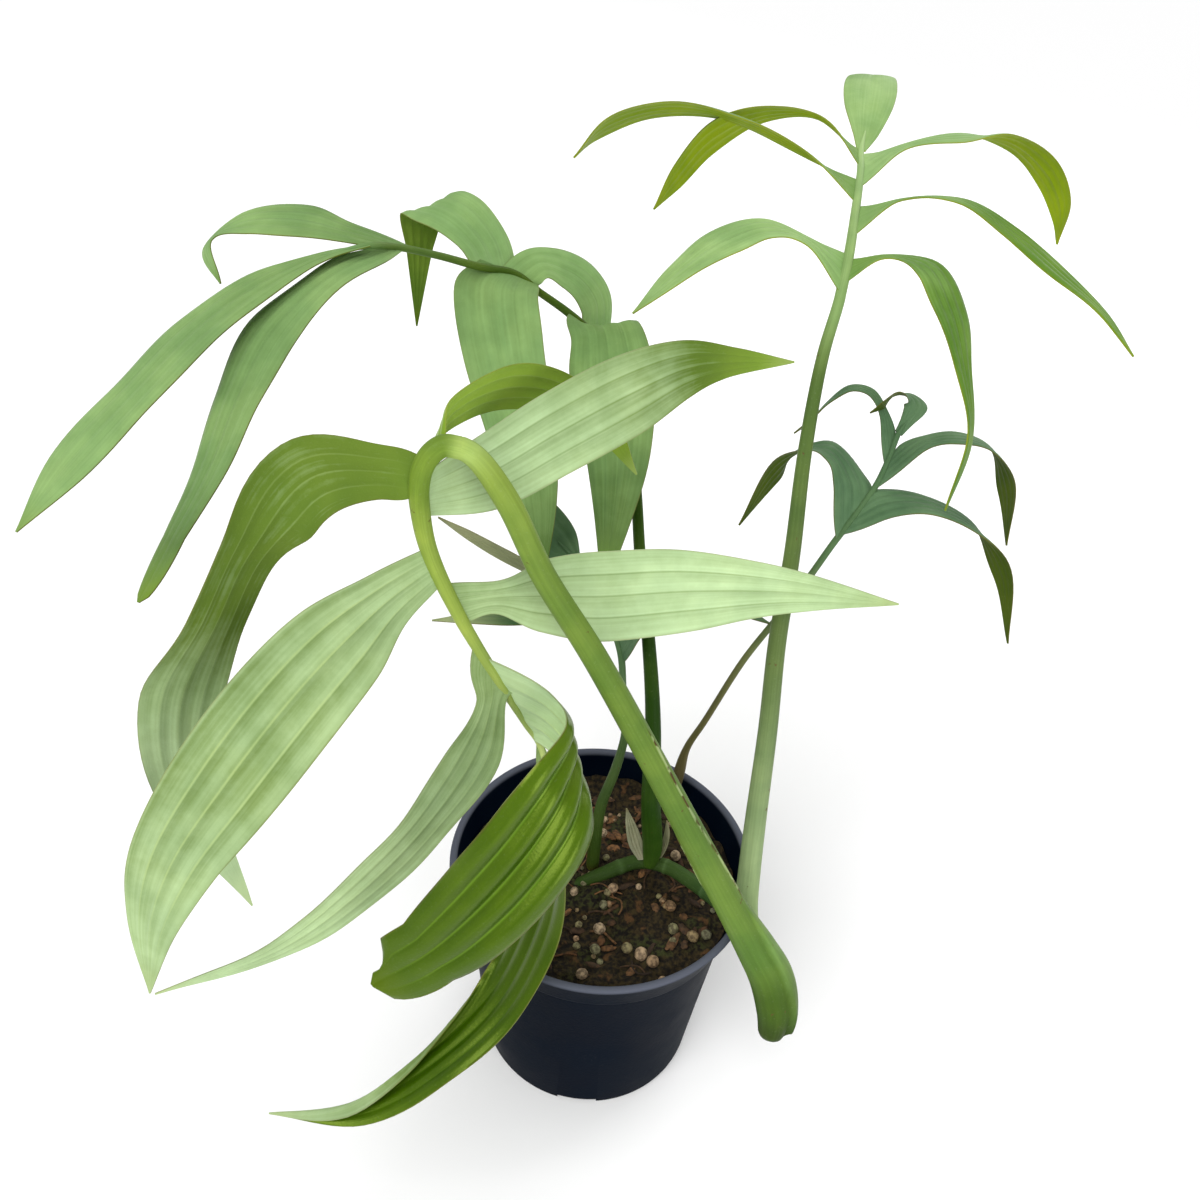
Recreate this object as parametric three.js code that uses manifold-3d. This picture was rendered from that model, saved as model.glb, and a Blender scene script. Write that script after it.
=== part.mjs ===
// A young pinnate monstera in a nursery pot. Five fronds rise from a creeping stem that runs over the
// soil and hangs its growing end over the rim of the pot. Sizes are millimetres, +Z is up and the origin
// is the middle of the pot's base. The side seen in the photograph looks towards -Y.

import * as THREE from 'three';
import { mergeVertices } from 'three/addons/utils/BufferGeometryUtils.js';
import Module from 'manifold-3d';

const wasm = await Module();
wasm.setup();

// Pot
const POT_HEIGHT = 97;
const RIM_RADIUS = 55;
const RIM_LIP_HEIGHT = 3;
const COLLAR_HEIGHT = 15;
const COLLAR_RADIUS = 50.5;
const SHOULDER_RADIUS = 48.8;
const BASE_RADIUS = 41.5;
const WALL = 1.6;
const FLOOR = 2.4;
const POT_SIDES = 48;
const NOTCH_COUNT = 4;
const FIRST_NOTCH_ANGLE = THREE.MathUtils.degToRad(-98);
const NOTCH_WIDTH = 15;
const NOTCH_DEPTH = 12;
const NOTCH_HEIGHT = 1.5;
const DRAIN_RADIUS = 3.5;
const DRAIN_CIRCLE = 33;

// Soil
const CLEARANCE = 0.3;
const SOIL_LEVEL = 86;
const SOIL_RELIEF = 1.5;
const SOIL_RINGS = 7;
const PELLET_COUNT = 26;
const PELLET_RADIUS = 2.1;
const CHIP_COUNT = 10;
const CHIP_SIZE = [7, 2.6, 1.6];
const SCATTER_SEED = 11;

// Leaf growth
const BLADE_THICKNESS = 0.9;
const BLADE_COLUMNS = 4;
const ROWS_PER_STEP = 2;
const TIP_WIDTH = 1.2;
const RIB_SINK = 0.05;
const MARGIN_DROP = 0.07;
const STALK_SIDES = 8;
const STALK_RINGS_PER_STEP = 2;
const LENGTH_SAMPLES = 20;

// The creeping stem lies half sunk in the soil, climbs over the rim and ends inside the sheath of the
// front frond. Points are its middle line and radii follow them one by one.
const CREEPER = {
  points: [[-9, -3, 83], [0, -1, 88], [14, 5, 90], [24, 3, 91], [34, -5, 93], [42, -15, 97],
    [49, -24, 100.5], [55, -32, 99], [60, -42, 91], [63, -49, 82]],
  radii: [2.2, 2.6, 2.7, 2.7, 2.8, 2.9, 3, 3, 2.8, 2],
};

// Every frond is one middle line that climbs from the foot of the petiole to the tip of the rachis.
// knee counts the points that belong to the petiole; the blade starts at the last of them.
// A pinna leaves the rachis between two shares of the rachis' length (foot) and follows its spine.
// wide holds its width at each spine point but the tip, and face is the direction its upper side
// looks there. A pinna without a foot is the end lobe: it carries the rachis on.
const FRONDS = [
  {
    name: 'front_frond',
    line: [[62, -51, 76], [62, -48, 84], [59, -43, 95], [52, -39, 106], [43, -37, 122], [26, -34, 154],
      [9, -33, 188], [-9, -31, 222], [-24, -29, 247], [-34, -27, 268],
      [-42, -26, 279.5], [-46, -26, 282], [-50, -26.5, 282.5], [-53, -27.5, 280.5], [-55, -28.5, 277],
      [-56, -29, 272], [-56, -29, 265], [-54, -30, 253], [-46, -31, 232], [-36, -30, 210],
      [-27, -27, 189], [-23, -26, 180]],
    radii: [4.6, 6.2, 7, 6.1, 5.2, 4.5, 4, 3.7, 3.4, 3.3, 3, 2.9, 2.9, 2.9, 2.8, 2.7, 2.6, 2.3, 1.9,
      1.5, 1.2, 1],
    knee: 12,
    pinnae: [
      {
        name: 'left_1',
        foot: [0.08, 0.18],
        spine: [[-66, -28, 274], [-82, -32, 273], [-97, -41, 257], [-107, -46, 237], [-118, -52, 212],
          [-119, -58, 184], [-104, -64, 141]],
        wide: [15, 22, 19, 19, 21, 16],
        face: [[-1, 5, -8], [-1, 6, -7], [-6, 7, 1], [-7, 6, 1], [-4, 9, -1], [-6, 8, -1]],
      },
      {
        name: 'right_1',
        foot: [0.13, 0.23],
        spine: [[-41, -15, 268], [-24, -2, 274], [-6, 11, 280], [10, 24, 283], [23, 32, 282], [42, 39, 280]],
        wide: [20, 22, 22, 16, 9],
        face: [[-5, 8, -4], [-4, 8, -5], [-5, 7, -5], [-5, 8, -3], [-4, 9, -1]],
      },
      {
        name: 'left_2',
        foot: [0.31, 0.41],
        spine: [[-64, -39, 242], [-74, -49, 235], [-86, -60, 223], [-102, -69, 201], [-119, -74, 172],
          [-127, -79, 149], [-130, -85, 124]],
        wide: [18, 26, 29, 29, 24, 16],
        face: [[-5, 8, -3], [-3, 8, -4], [-1, 9, -4], [0, 10, -3], [1, 10, -2], [3, 9, -3]],
      },
      {
        name: 'right_2',
        foot: [0.41, 0.53],
        spine: [[-37, -25, 235], [-26, -17, 230], [-9, -11, 227], [17, -6, 228], [47, -1, 227], [80, 2, 223]],
        wide: [16, 22, 26, 24, 14],
        face: [[-5, 8, -2], [-4, 7, -5], [-3, 8, -5], [-2, 9, -4], [-2, 10, -2]],
      },
      {
        name: 'left_3',
        foot: [0.59, 0.8],
        spine: [[-37, -32, 203], [-42, -38, 185], [-56, -49, 164], [-75, -60, 144], [-96, -69, 128],
          [-133, -78, 112]],
        wide: [12, 19, 19, 16, 10],
        face: [[-4, 9, -2], [-4, 9, -1], [-5, 8, 0], [-4, 9, 0], [-3, 9, 1]],
      },
      {
        name: 'cap_lobe',
        foot: [0.03, 0.1],
        spine: [[-51, -14, 284], [-39, 5, 283], [-26, 14, 278], [-13, 17, 269], [-1, 14, 253]],
        wide: [10, 14, 13, 10],
        face: [[-8, 5, 2], [-6, 8, 1], [-4, 9, 1], [0, 10, 1]],
      },
      {
        name: 'right_3',
        foot: [0.64, 0.97],
        spine: [[-20, -31, 196], [-11, -44, 196], [-13, -58, 193], [-20, -67, 183], [-33, -75, 166],
          [-49, -80, 147], [-65, -82, 133]],
        wide: [26, 27, 29, 29, 28, 22],
        face: [[6, 8, 1], [9, 3, 2], [6, -6, 4], [2, -9, 4], [-1, -9, 4], [-2, -9, 3]],
      },
      {
        name: 'end_lobe',
        spine: [[-23, -26, 180], [-19, -29, 160], [-17, -38, 141], [-20, -49, 122], [-30, -62, 99],
          [-48, -73, 80], [-73, -81, 61], [-104, -82, 52]],
        wide: [2, 10, 18, 19, 17, 13, 9],
        face: [[-2, 10, 0], [-8, 6, 0], [-9, -3, 2], [-7, -6, 4], [-6, -5, 6], [-6, -3, 8], [-4, -3, 9]],
      },
    ],
  },
  {
    name: 'right_frond',
    line: [[51, -27, 101], [50, -24, 108], [50, -16, 120], [50, -9, 135], [50, 3, 166], [49, 13, 196],
      [50, 23, 221], [50, 37, 252], [52, 50, 277], [55, 58, 292], [57, 68, 301], [60, 88, 309],
      [62, 103, 315], [63, 115, 318]],
    radii: [4.2, 4, 3.8, 3.6, 3.2, 2.9, 2.6, 2.2, 1.9, 1.7, 1.6, 1.4, 1.2, 1],
    knee: 10,
    pinnae: [
      {
        name: 'left_1',
        foot: [0.02, 0.22],
        spine: [[45, 68, 305], [32, 70, 308], [19, 65, 305], [8, 55, 300], [-6, 41, 290]],
        wide: [8, 15, 17, 14],
        face: [[3, 0, 9], [0, 0, 10], [-3, -1, 10], [-5, -1, 9]],
      },
      {
        name: 'right_1',
        foot: [0.07, 0.2],
        spine: [[67, 66, 303], [80, 62, 303], [87, 51, 295], [91, 38, 284], [93, 21, 270], [86, 4, 256]],
        wide: [4, 14, 17, 15, 9],
        face: [[-2, 1, 10], [3, -2, 9], [6, -4, 7], [8, -4, 5], [9, -4, 2]],
      },
      {
        name: 'right_2',
        foot: [0.34, 0.56],
        spine: [[73, 87, 313], [90, 83, 316], [104, 73, 312], [118, 60, 305], [130, 50, 298], [137, 38, 291]],
        wide: [4, 10, 16, 13, 8],
        face: [[-2, 2, 9], [1, 2, 10], [3, 0, 9], [4, -1, 9], [5, -1, 9]],
      },
      {
        name: 'left_2',
        foot: [0.58, 0.74],
        spine: [[42, 104, 320], [17, 104, 329], [-4, 97, 331], [-20, 87, 327], [-27, 76, 321]],
        wide: [6, 13, 15, 11],
        face: [[4, 5, 8], [1, 4, 9], [-3, 5, 8], [-6, 5, 6]],
      },
      {
        name: 'left_3',
        foot: [0.84, 0.99],
        spine: [[49, 122, 325], [31, 119, 326], [14, 109, 320], [4, 97, 311], [-2, 86, 304]],
        wide: [4, 12, 13, 9],
        face: [[2, 5, 8], [-3, 6, 7], [-7, 7, 2], [-8, 6, 0]],
      },
      {
        name: 'right_3',
        foot: [0.68, 0.95],
        spine: [[77, 117, 320], [95, 119, 324], [110, 115, 325], [121, 105, 319], [125, 94, 311],
          [123, 85, 304]],
        wide: [6, 13, 15, 13, 9],
        face: [[-3, 1, 10], [-2, 1, 10], [3, 5, 8], [8, 5, 3], [10, 3, -1]],
      },
      {
        name: 'end_lobe',
        spine: [[63, 115, 318], [65, 125, 321], [67, 139, 326], [69, 153, 329], [71, 165, 329],
          [72, 174, 324]],
        wide: [3, 10, 17, 18, 13],
        face: [[1, -3, 9], [1, -3, 9], [0, -3, 10], [0, 0, 10], [0, 3, 9]],
      },
    ],
  },
  {
    name: 'back_frond',
    line: [[18, 4, 91], [18, 3, 101], [15, 1, 128], [13, 13, 155], [9, 27, 179], [4, 43, 200],
      [0, 62, 220], [-6, 81, 240], [-12, 92, 250], [-20, 97, 256], [-28, 100, 261], [-38, 101, 267],
      [-46, 100, 273], [-57, 92, 278], [-69, 84, 284], [-80, 76, 289], [-87, 66, 293]],
    radii: [2.6, 3.6, 3.4, 2.7, 2.3, 2, 1.9, 1.8, 1.7, 1.6, 1.4, 1.3, 1.3, 1.3, 1.2, 1.1, 1],
    knee: 9,
    pinnae: [
      {
        name: 'near_1',
        foot: [0.03, 0.2],
        spine: [[-15, 90, 262], [-11, 75, 252], [-7, 56, 232], [-7, 40, 213], [-8, 27, 197]],
        wide: [24, 28, 22, 11],
        face: [[0, -3, 10], [-1, -6, 7], [-3, -7, 6], [-4, -7, 6]],
      },
      {
        name: 'far_1',
        foot: [0.34, 0.48],
        spine: [[-38, 107, 275], [-30, 111, 272], [-23, 113, 267], [-18, 114, 259], [-17, 113, 250],
          [-15, 107, 236]],
        wide: [12, 14, 15, 15, 12],
        face: [[1, -6, 8], [2, -6, 8], [4, -6, 7], [6, -6, 5], [6, -6, 4]],
      },
      {
        name: 'near_2',
        foot: [0.33, 0.57],
        spine: [[-51, 88, 273], [-47, 71, 260], [-39, 52, 242], [-33, 37, 226], [-27, 18, 205]],
        wide: [28, 27, 23, 17],
        face: [[0, -5, 9], [-2, -7, 7], [-3, -7, 6], [-3, -7, 6]],
      },
      {
        name: 'far_2',
        foot: [0.42, 0.6],
        spine: [[-57, 106, 281], [-66, 113, 287], [-76, 121, 287], [-82, 127, 281], [-83, 126, 269],
          [-83, 116, 243]],
        wide: [18, 20, 20, 17, 10],
        face: [[2, -4, 9], [0, -4, 9], [-3, -1, 9], [-4, 7, 5], [-4, 9, -2]],
      },
      {
        name: 'low_3',
        foot: [0.84, 0.94],
        spine: [[-96, 52, 289], [-110, 35, 279], [-117, 17, 266], [-121, -1, 253], [-127, -18, 241],
          [-133, -33, 229]],
        wide: [14, 20, 21, 17, 12],
        face: [[-2, -2, 10], [-3, -4, 9], [-5, -4, 7], [-6, -4, 7], [-6, -3, 7]],
      },
      {
        name: 'far_3',
        foot: [0.8, 0.92],
        spine: [[-93, 73, 294], [-110, 76, 296], [-128, 75, 294], [-138, 68, 288], [-131, 57, 281]],
        wide: [12, 17, 16, 9],
        face: [[0, -1, 10], [0, -2, 10], [-2, -1, 10], [-8, -1, 6]],
      },
      {
        name: 'end_lobe',
        spine: [[-87, 66, 293], [-99, 59, 292], [-116, 48, 287], [-131, 32, 279], [-145, 12, 267],
          [-159, -6, 253], [-168, -22, 241]],
        wide: [3, 9, 17, 21, 21, 16],
        face: [[-3, 1, 9], [-3, 0, 9], [-3, -2, 9], [-4, -3, 9], [-4, -3, 9], [-3, -4, 9]],
      },
    ],
  },
  {
    name: 'low_frond',
    line: [[25, 35, 82], [27.5, 39, 103], [29, 39, 117], [34, 39, 132], [45, 46, 157], [54, 51, 172],
      [63, 56, 187], [71, 61, 202], [75, 64, 208], [80, 69, 214], [84, 74, 219], [88, 82, 225],
      [91, 89, 231]],
    radii: [1.9, 2.2, 1.4, 1.2, 1.2, 1.2, 1.2, 1.2, 1.2, 1.1, 1.1, 1, 1],
    knee: 8,
    pinnae: [
      {
        name: 'left_1',
        foot: [0.02, 0.42],
        spine: [[75, 72, 220], [67, 79, 228], [56, 76, 229], [47, 69, 224], [36, 52, 212]],
        wide: [17, 13, 13, 11],
        face: [[3, -2, 9], [1, -1, 10], [-3, 5, 8], [-3, 9, 2]],
      },
      {
        name: 'right_1',
        foot: [0.06, 0.32],
        spine: [[86, 67, 216], [101, 68, 217], [118, 63, 212], [128, 51, 202], [130, 33, 186]],
        wide: [13, 14, 13, 9],
        face: [[-1, -3, 9], [1, 1, 10], [5, 2, 8], [7, 6, 1]],
      },
      {
        name: 'right_2',
        foot: [0.5, 0.82],
        spine: [[99, 86, 230], [111, 87, 233], [123, 84, 231], [129, 74, 222], [129, 59, 208]],
        wide: [9, 10, 12, 11],
        face: [[-2, 0, 9], [0, 1, 10], [6, 2, 8], [9, 4, 1]],
      },
      {
        name: 'left_2',
        foot: [0.7, 0.92],
        spine: [[86, 94, 235], [81, 101, 240], [74, 103, 240], [67, 101, 235], [61, 96, 230],
          [55, 90, 227]],
        wide: [4, 4, 6, 8, 7],
        face: [[2, -4, 9], [1, -3, 9], [-1, 1, 10], [-4, 5, 8], [-5, 6, 5]],
      },
      {
        name: 'end_lobe',
        spine: [[91, 89, 231], [94, 93, 234], [97, 97, 238], [95, 100, 240], [89, 99, 241],
          [85, 95, 239], [80, 91, 237]],
        wide: [3, 5, 9, 9, 7, 5],
        face: [[3, -5, 8], [3, -5, 8], [2, -4, 9], [-1, 2, 10], [-3, 6, 7], [-4, 8, 3]],
      },
    ],
  },
  {
    name: 'young_frond',
    line: [[-3, 5, 80], [-3, 4, 96], [-2, 6, 118], [2, 10, 134], [4, 14, 148], [2, 20, 162],
      [0, 25, 174], [-4, 29, 183], [-10, 34, 192], [-17, 39, 200]],
    radii: [2.4, 2.3, 2, 1.7, 1.4, 1.2, 1.2, 1.1, 1, 0.9],
    knee: 6,
    pinnae: [
      {
        name: 'right_1',
        foot: [0.2, 0.45],
        spine: [[7, 22, 194], [19, 21, 202], [33, 19, 204], [46, 16, 200]],
        wide: [11, 12, 9],
        face: [[-3, -2, 9], [0, 0, 10], [2, 0, 9]],
      },
      {
        name: 'left_1',
        foot: [0.4, 0.6],
        spine: [[-21, 27, 188], [-41, 22, 189], [-63, 20, 186]],
        wide: [10, 9],
        face: [[0, -1, 10], [-1, 0, 10]],
      },
      {
        name: 'left_2',
        foot: [0.7, 0.9],
        spine: [[-28, 35, 198], [-41, 37, 203], [-54, 40, 208], [-64, 42, 212]],
        wide: [9, 9, 6],
        face: [[3, 9, 4], [2, 9, 4], [2, 9, 4]],
      },
      {
        name: 'end_lobe',
        spine: [[-17, 39, 200], [-24, 45, 204], [-33, 53, 207], [-40, 61, 208], [-48, 70, 204]],
        wide: [3, 15, 18, 14],
        face: [[1, -4, 9], [0, -4, 9], [-2, -4, 9], [-4, -1, 9]],
      },
    ],
  },
];

// A small repeatable random number generator, so the scatter is the same each time.
function makeRandom(seed) {
  let state = seed;
  return () => {
    state = (state * 1664525 + 1013904223) % 4294967296;
    return state / 4294967296;
  };
}

function toSolid(geometry) {
  const bare = geometry.clone();
  bare.deleteAttribute('normal');
  bare.deleteAttribute('uv');
  const merged = mergeVertices(bare, 1e-4);
  const vertProperties = new Float32Array(merged.attributes.position.array);
  const triVerts = new Uint32Array(merged.index.array);
  return new wasm.Manifold(new wasm.Mesh({ numProp: 3, vertProperties, triVerts }));
}

function toGeometry(solid) {
  const mesh = solid.getMesh();
  const geometry = new THREE.BufferGeometry();
  geometry.setAttribute('position', new THREE.BufferAttribute(new Float32Array(mesh.vertProperties), 3));
  geometry.setIndex(new THREE.BufferAttribute(new Uint32Array(mesh.triVerts), 1));
  geometry.computeVertexNormals();
  return geometry;
}

// The biggest of a solid's separate bodies, without scraps that a cut has left.
function mainBody(solid) {
  return solid.decompose().sort((one, other) => other.volume() - one.volume())[0];
}

function indexedGeometry(points, triangles) {
  const geometry = new THREE.BufferGeometry().setFromPoints(points);
  geometry.setIndex(triangles);
  return geometry;
}

function vectors(rows) {
  return rows.map((row) => new THREE.Vector3(...row));
}

function smoothLine(points) {
  return new THREE.CatmullRomCurve3(points, false, 'centripetal');
}

// A number that changes smoothly from one value to the next while share runs from 0 to 1.
function blendValues(values, share) {
  const place = share * (values.length - 1);
  const first = Math.min(Math.floor(place), values.length - 2);
  return THREE.MathUtils.lerp(values[first], values[first + 1], place - first);
}

// A round stalk round part of a curve, closed at both ends. radiusAt gives the radius at a share of the
// curve's own counting, and extra is added to it all along.
function stalk(curve, from, to, rings, sides, radiusAt, extra = 0) {
  const points = [];
  let across = new THREE.Vector3(1, 0, 0);
  for (let ring = 0; ring <= rings; ring += 1) {
    const share = THREE.MathUtils.lerp(from, to, ring / rings);
    const middle = curve.getPoint(share);
    const along = curve.getTangent(share);
    across = across.clone().addScaledVector(along, -across.dot(along)).normalize();
    const third = new THREE.Vector3().crossVectors(along, across);
    const radius = radiusAt(share) + extra;
    for (let side = 0; side < sides; side += 1) {
      const angle = (side / sides) * Math.PI * 2;
      const point = middle.clone().addScaledVector(across, radius * Math.cos(angle));
      points.push(point.addScaledVector(third, radius * Math.sin(angle)));
    }
  }
  const triangles = [];
  for (let ring = 0; ring < rings; ring += 1) {
    for (let side = 0; side < sides; side += 1) {
      const next = (side + 1) % sides;
      const a = ring * sides + side;
      const b = ring * sides + next;
      const c = a + sides;
      const d = b + sides;
      triangles.push(a, b, d, a, d, c);
    }
  }
  const lastRing = rings * sides;
  for (let side = 1; side < sides - 1; side += 1) {
    triangles.push(0, side + 1, side);
    triangles.push(lastRing, lastRing + side, lastRing + side + 1);
  }
  return toSolid(indexedGeometry(points, triangles));
}

// A thin blade from rows of points and the upward direction of each row. Both faces are split into the
// same triangles, so they stay one thickness apart.
function blade(rows, ups) {
  const columns = rows[0].length;
  const layerSize = rows.length * columns;
  const points = [];
  [0.5, -0.5].forEach((layer) => {
    rows.forEach((row, index) => {
      row.forEach((point) => {
        points.push(point.clone().addScaledVector(ups[index], layer * BLADE_THICKNESS));
      });
    });
  });
  const triangles = [];
  const quad = (a, b, c, d) => triangles.push(a, b, c, a, c, d);
  for (let row = 0; row < rows.length - 1; row += 1) {
    for (let column = 0; column < columns - 1; column += 1) {
      const a = row * columns + column;
      const b = a + 1;
      const c = b + columns;
      const d = a + columns;
      triangles.push(a, b, c, a, c, d);
      triangles.push(a + layerSize, c + layerSize, b + layerSize);
      triangles.push(a + layerSize, d + layerSize, c + layerSize);
    }
  }
  for (let row = 0; row < rows.length - 1; row += 1) {
    const left = row * columns;
    const nextLeft = left + columns;
    quad(left, nextLeft, nextLeft + layerSize, left + layerSize);
    const right = left + columns - 1;
    const nextRight = right + columns;
    quad(right, right + layerSize, nextRight + layerSize, nextRight);
  }
  const lastRow = (rows.length - 1) * columns;
  for (let column = 0; column < columns - 1; column += 1) {
    quad(column, column + layerSize, column + 1 + layerSize, column + 1);
    const end = lastRow + column;
    quad(end, end + 1, end + 1 + layerSize, end + layerSize);
  }
  return toSolid(indexedGeometry(points, triangles));
}

// One pinna. It starts as a web along the rachis and turns, row by row, into a blade across its spine.
// The rib is sunk a little into the upper face and the margins droop.
function pinna(description, rachisAt) {
  const spinePoints = vectors(description.spine);
  const faces = vectors(description.face).map((face) => face.normalize());
  const widths = [...description.wide, TIP_WIDTH];
  faces.push(faces[faces.length - 1].clone());
  let foot = null;
  if (description.foot) {
    const [from, to] = description.foot;
    spinePoints.unshift(rachisAt((from + to) / 2));
    foot = rachisAt(to).sub(rachisAt(from));
  }
  const curve = smoothLine(spinePoints);
  const steps = spinePoints.length - 1;
  const sideways = spinePoints.map((point, index) => {
    const along = curve.getTangent(index / steps);
    const face = faces[foot ? Math.max(index - 1, 0) : index];
    return new THREE.Vector3().crossVectors(along, face).normalize();
  });
  if (foot) {
    const forward = foot.dot(sideways[1]) > 0 ? 1 : -1;
    widths.unshift(foot.length());
    sideways[0] = foot.multiplyScalar(forward).normalize();
  }
  const sidewaysCurve = new THREE.CatmullRomCurve3(sideways, false, 'catmullrom', 0.5);
  const rows = [];
  const ups = [];
  const rowCount = steps * ROWS_PER_STEP;
  for (let index = 0; index <= rowCount; index += 1) {
    const share = index / rowCount;
    const middle = curve.getPoint(share);
    const along = curve.getTangent(share);
    const across = sidewaysCurve.getPoint(share).normalize();
    const up = new THREE.Vector3().crossVectors(across, along).normalize();
    const width = blendValues(widths, share);
    const relief = Math.min(share * 4, 1);
    const row = [];
    for (let column = 0; column <= BLADE_COLUMNS; column += 1) {
      const side = (column / BLADE_COLUMNS) * 2 - 1;
      const rib = -RIB_SINK * (1 - Math.abs(side));
      const margin = -MARGIN_DROP * side * side;
      const point = middle.clone().addScaledVector(across, (side * width) / 2);
      row.push(point.addScaledVector(up, (rib + margin) * width * relief));
    }
    rows.push(row);
    ups.push(up);
  }
  return blade(rows, ups);
}

// A frond gives two solids: its petiole and its blade, which is the rachis with the pinnae grown on it.
function growFrond(frond) {
  const curve = smoothLine(vectors(frond.line));
  const steps = frond.line.length - 1;
  const kneeShare = (frond.knee - 1) / steps;
  const nearKnee = 0.001;
  const nearKneeLength = curve.getPoint(kneeShare).distanceTo(curve.getPoint(kneeShare + nearKnee));
  const halfGap = (CLEARANCE / 2) * (nearKnee / nearKneeLength);
  const radiusAt = (share) => blendValues(frond.radii, share);
  const lengths = curve.getLengths(steps * LENGTH_SAMPLES);
  const kneeLength = lengths[(frond.knee - 1) * LENGTH_SAMPLES] / lengths[lengths.length - 1];
  const rachisAt = (share) => curve.getPointAt(THREE.MathUtils.lerp(kneeLength, 1, share));
  const petioleRings = (frond.knee - 1) * STALK_RINGS_PER_STEP;
  const rachisRings = (steps - frond.knee + 1) * STALK_RINGS_PER_STEP;
  const petiole = stalk(curve, 0, kneeShare - halfGap, petioleRings, STALK_SIDES, radiusAt);
  const shell = stalk(curve, 0, kneeShare, petioleRings, STALK_SIDES, radiusAt, CLEARANCE);
  let leaf = stalk(curve, kneeShare + halfGap, 1, rachisRings, STALK_SIDES, radiusAt);
  frond.pinnae.forEach((description) => {
    leaf = leaf.add(pinna(description, rachisAt));
  });
  return { petiole, shell, leaf: mainBody(leaf.subtract(shell)) };
}

// Outer and inner outline of the pot, turned round the middle axis.
function potSolid() {
  const collarFoot = POT_HEIGHT - COLLAR_HEIGHT;
  const lipFoot = POT_HEIGHT - RIM_LIP_HEIGHT;
  const profile = [
    [0, 0],
    [BASE_RADIUS - 0.6, 0],
    [BASE_RADIUS, 0.8],
    [SHOULDER_RADIUS, collarFoot - 1.5],
    [COLLAR_RADIUS, collarFoot],
    [RIM_RADIUS - 1.4, lipFoot],
    [RIM_RADIUS - 0.3, lipFoot + 0.5],
    [RIM_RADIUS, lipFoot + 1.5],
    [RIM_RADIUS - 0.4, POT_HEIGHT - 0.4],
    [RIM_RADIUS - 1.2, POT_HEIGHT],
    [RIM_RADIUS - 2.2, POT_HEIGHT - 0.4],
    [RIM_RADIUS - 2.8, lipFoot],
    [COLLAR_RADIUS - WALL, collarFoot + 0.4],
    [SHOULDER_RADIUS - WALL, collarFoot - 1.5],
    [BASE_RADIUS - WALL, FLOOR],
    [0, FLOOR],
  ];
  const outline = profile.map(([radius, height]) => new THREE.Vector2(radius, height));
  const turned = new THREE.LatheGeometry(outline, POT_SIDES);
  turned.rotateX(Math.PI / 2);
  let pot = toSolid(turned);
  for (let index = 0; index < NOTCH_COUNT; index += 1) {
    const angle = FIRST_NOTCH_ANGLE + (index * Math.PI * 2) / NOTCH_COUNT;
    const notch = new THREE.BoxGeometry(NOTCH_DEPTH * 2, NOTCH_WIDTH, NOTCH_HEIGHT * 2);
    notch.translate(BASE_RADIUS, 0, 0);
    notch.rotateZ(angle);
    const drain = new THREE.CylinderGeometry(DRAIN_RADIUS, DRAIN_RADIUS, FLOOR * 3, 12);
    drain.rotateX(Math.PI / 2);
    drain.translate(DRAIN_CIRCLE, 0, 0);
    drain.rotateZ(angle);
    pot = pot.subtract(toSolid(notch)).subtract(toSolid(drain));
  }
  return pot;
}

function soilHeight(x, y) {
  const broad = Math.sin(x * 0.13 + 1.1) * Math.cos(y * 0.11 - 0.4);
  const fine = Math.sin(x * 0.43 - y * 0.31) * 0.5;
  return SOIL_LEVEL + SOIL_RELIEF * (broad + fine);
}

// The ball of soil fills the pot with a small clearance and has a lumpy top with pellets and chips.
function soilSolid() {
  const collarFoot = POT_HEIGHT - COLLAR_HEIGHT;
  const inset = WALL + CLEARANCE;
  const topRadius = COLLAR_RADIUS - inset;
  const outline = [
    new THREE.Vector2(0, FLOOR + CLEARANCE),
    new THREE.Vector2(BASE_RADIUS - inset, FLOOR + CLEARANCE),
    new THREE.Vector2(SHOULDER_RADIUS - inset, collarFoot - 1.5),
  ];
  for (let ring = SOIL_RINGS; ring >= 0; ring -= 1) {
    outline.push(new THREE.Vector2((topRadius * ring) / SOIL_RINGS, SOIL_LEVEL));
  }
  const turned = new THREE.LatheGeometry(outline, POT_SIDES);
  turned.rotateX(Math.PI / 2);
  const position = turned.attributes.position;
  for (let index = 0; index < position.count; index += 1) {
    const x = position.getX(index);
    const y = position.getY(index);
    if (position.getZ(index) > SOIL_LEVEL - 0.5) {
      position.setZ(index, soilHeight(x, y));
    }
  }
  let soil = toSolid(turned);
  const random = makeRandom(SCATTER_SEED);
  const scatterPlace = (margin) => {
    const radius = Math.sqrt(random()) * (topRadius - margin);
    const angle = random() * Math.PI * 2;
    return [radius * Math.cos(angle), radius * Math.sin(angle)];
  };
  for (let index = 0; index < PELLET_COUNT; index += 1) {
    const [x, y] = scatterPlace(PELLET_RADIUS * 1.5);
    const pellet = new THREE.IcosahedronGeometry(PELLET_RADIUS * (0.8 + 0.4 * random()), 0);
    pellet.rotateZ(random() * Math.PI);
    pellet.translate(x, y, soilHeight(x, y) + PELLET_RADIUS * 0.35);
    soil = soil.add(toSolid(pellet));
  }
  for (let index = 0; index < CHIP_COUNT; index += 1) {
    const [x, y] = scatterPlace(CHIP_SIZE[0]);
    const chip = new THREE.BoxGeometry(...CHIP_SIZE);
    chip.rotateY((random() - 0.5) * 0.5);
    chip.rotateZ(random() * Math.PI);
    chip.translate(x, y, soilHeight(x, y) + CHIP_SIZE[2] * 0.2);
    soil = soil.add(toSolid(chip));
  }
  return soil;
}

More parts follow.
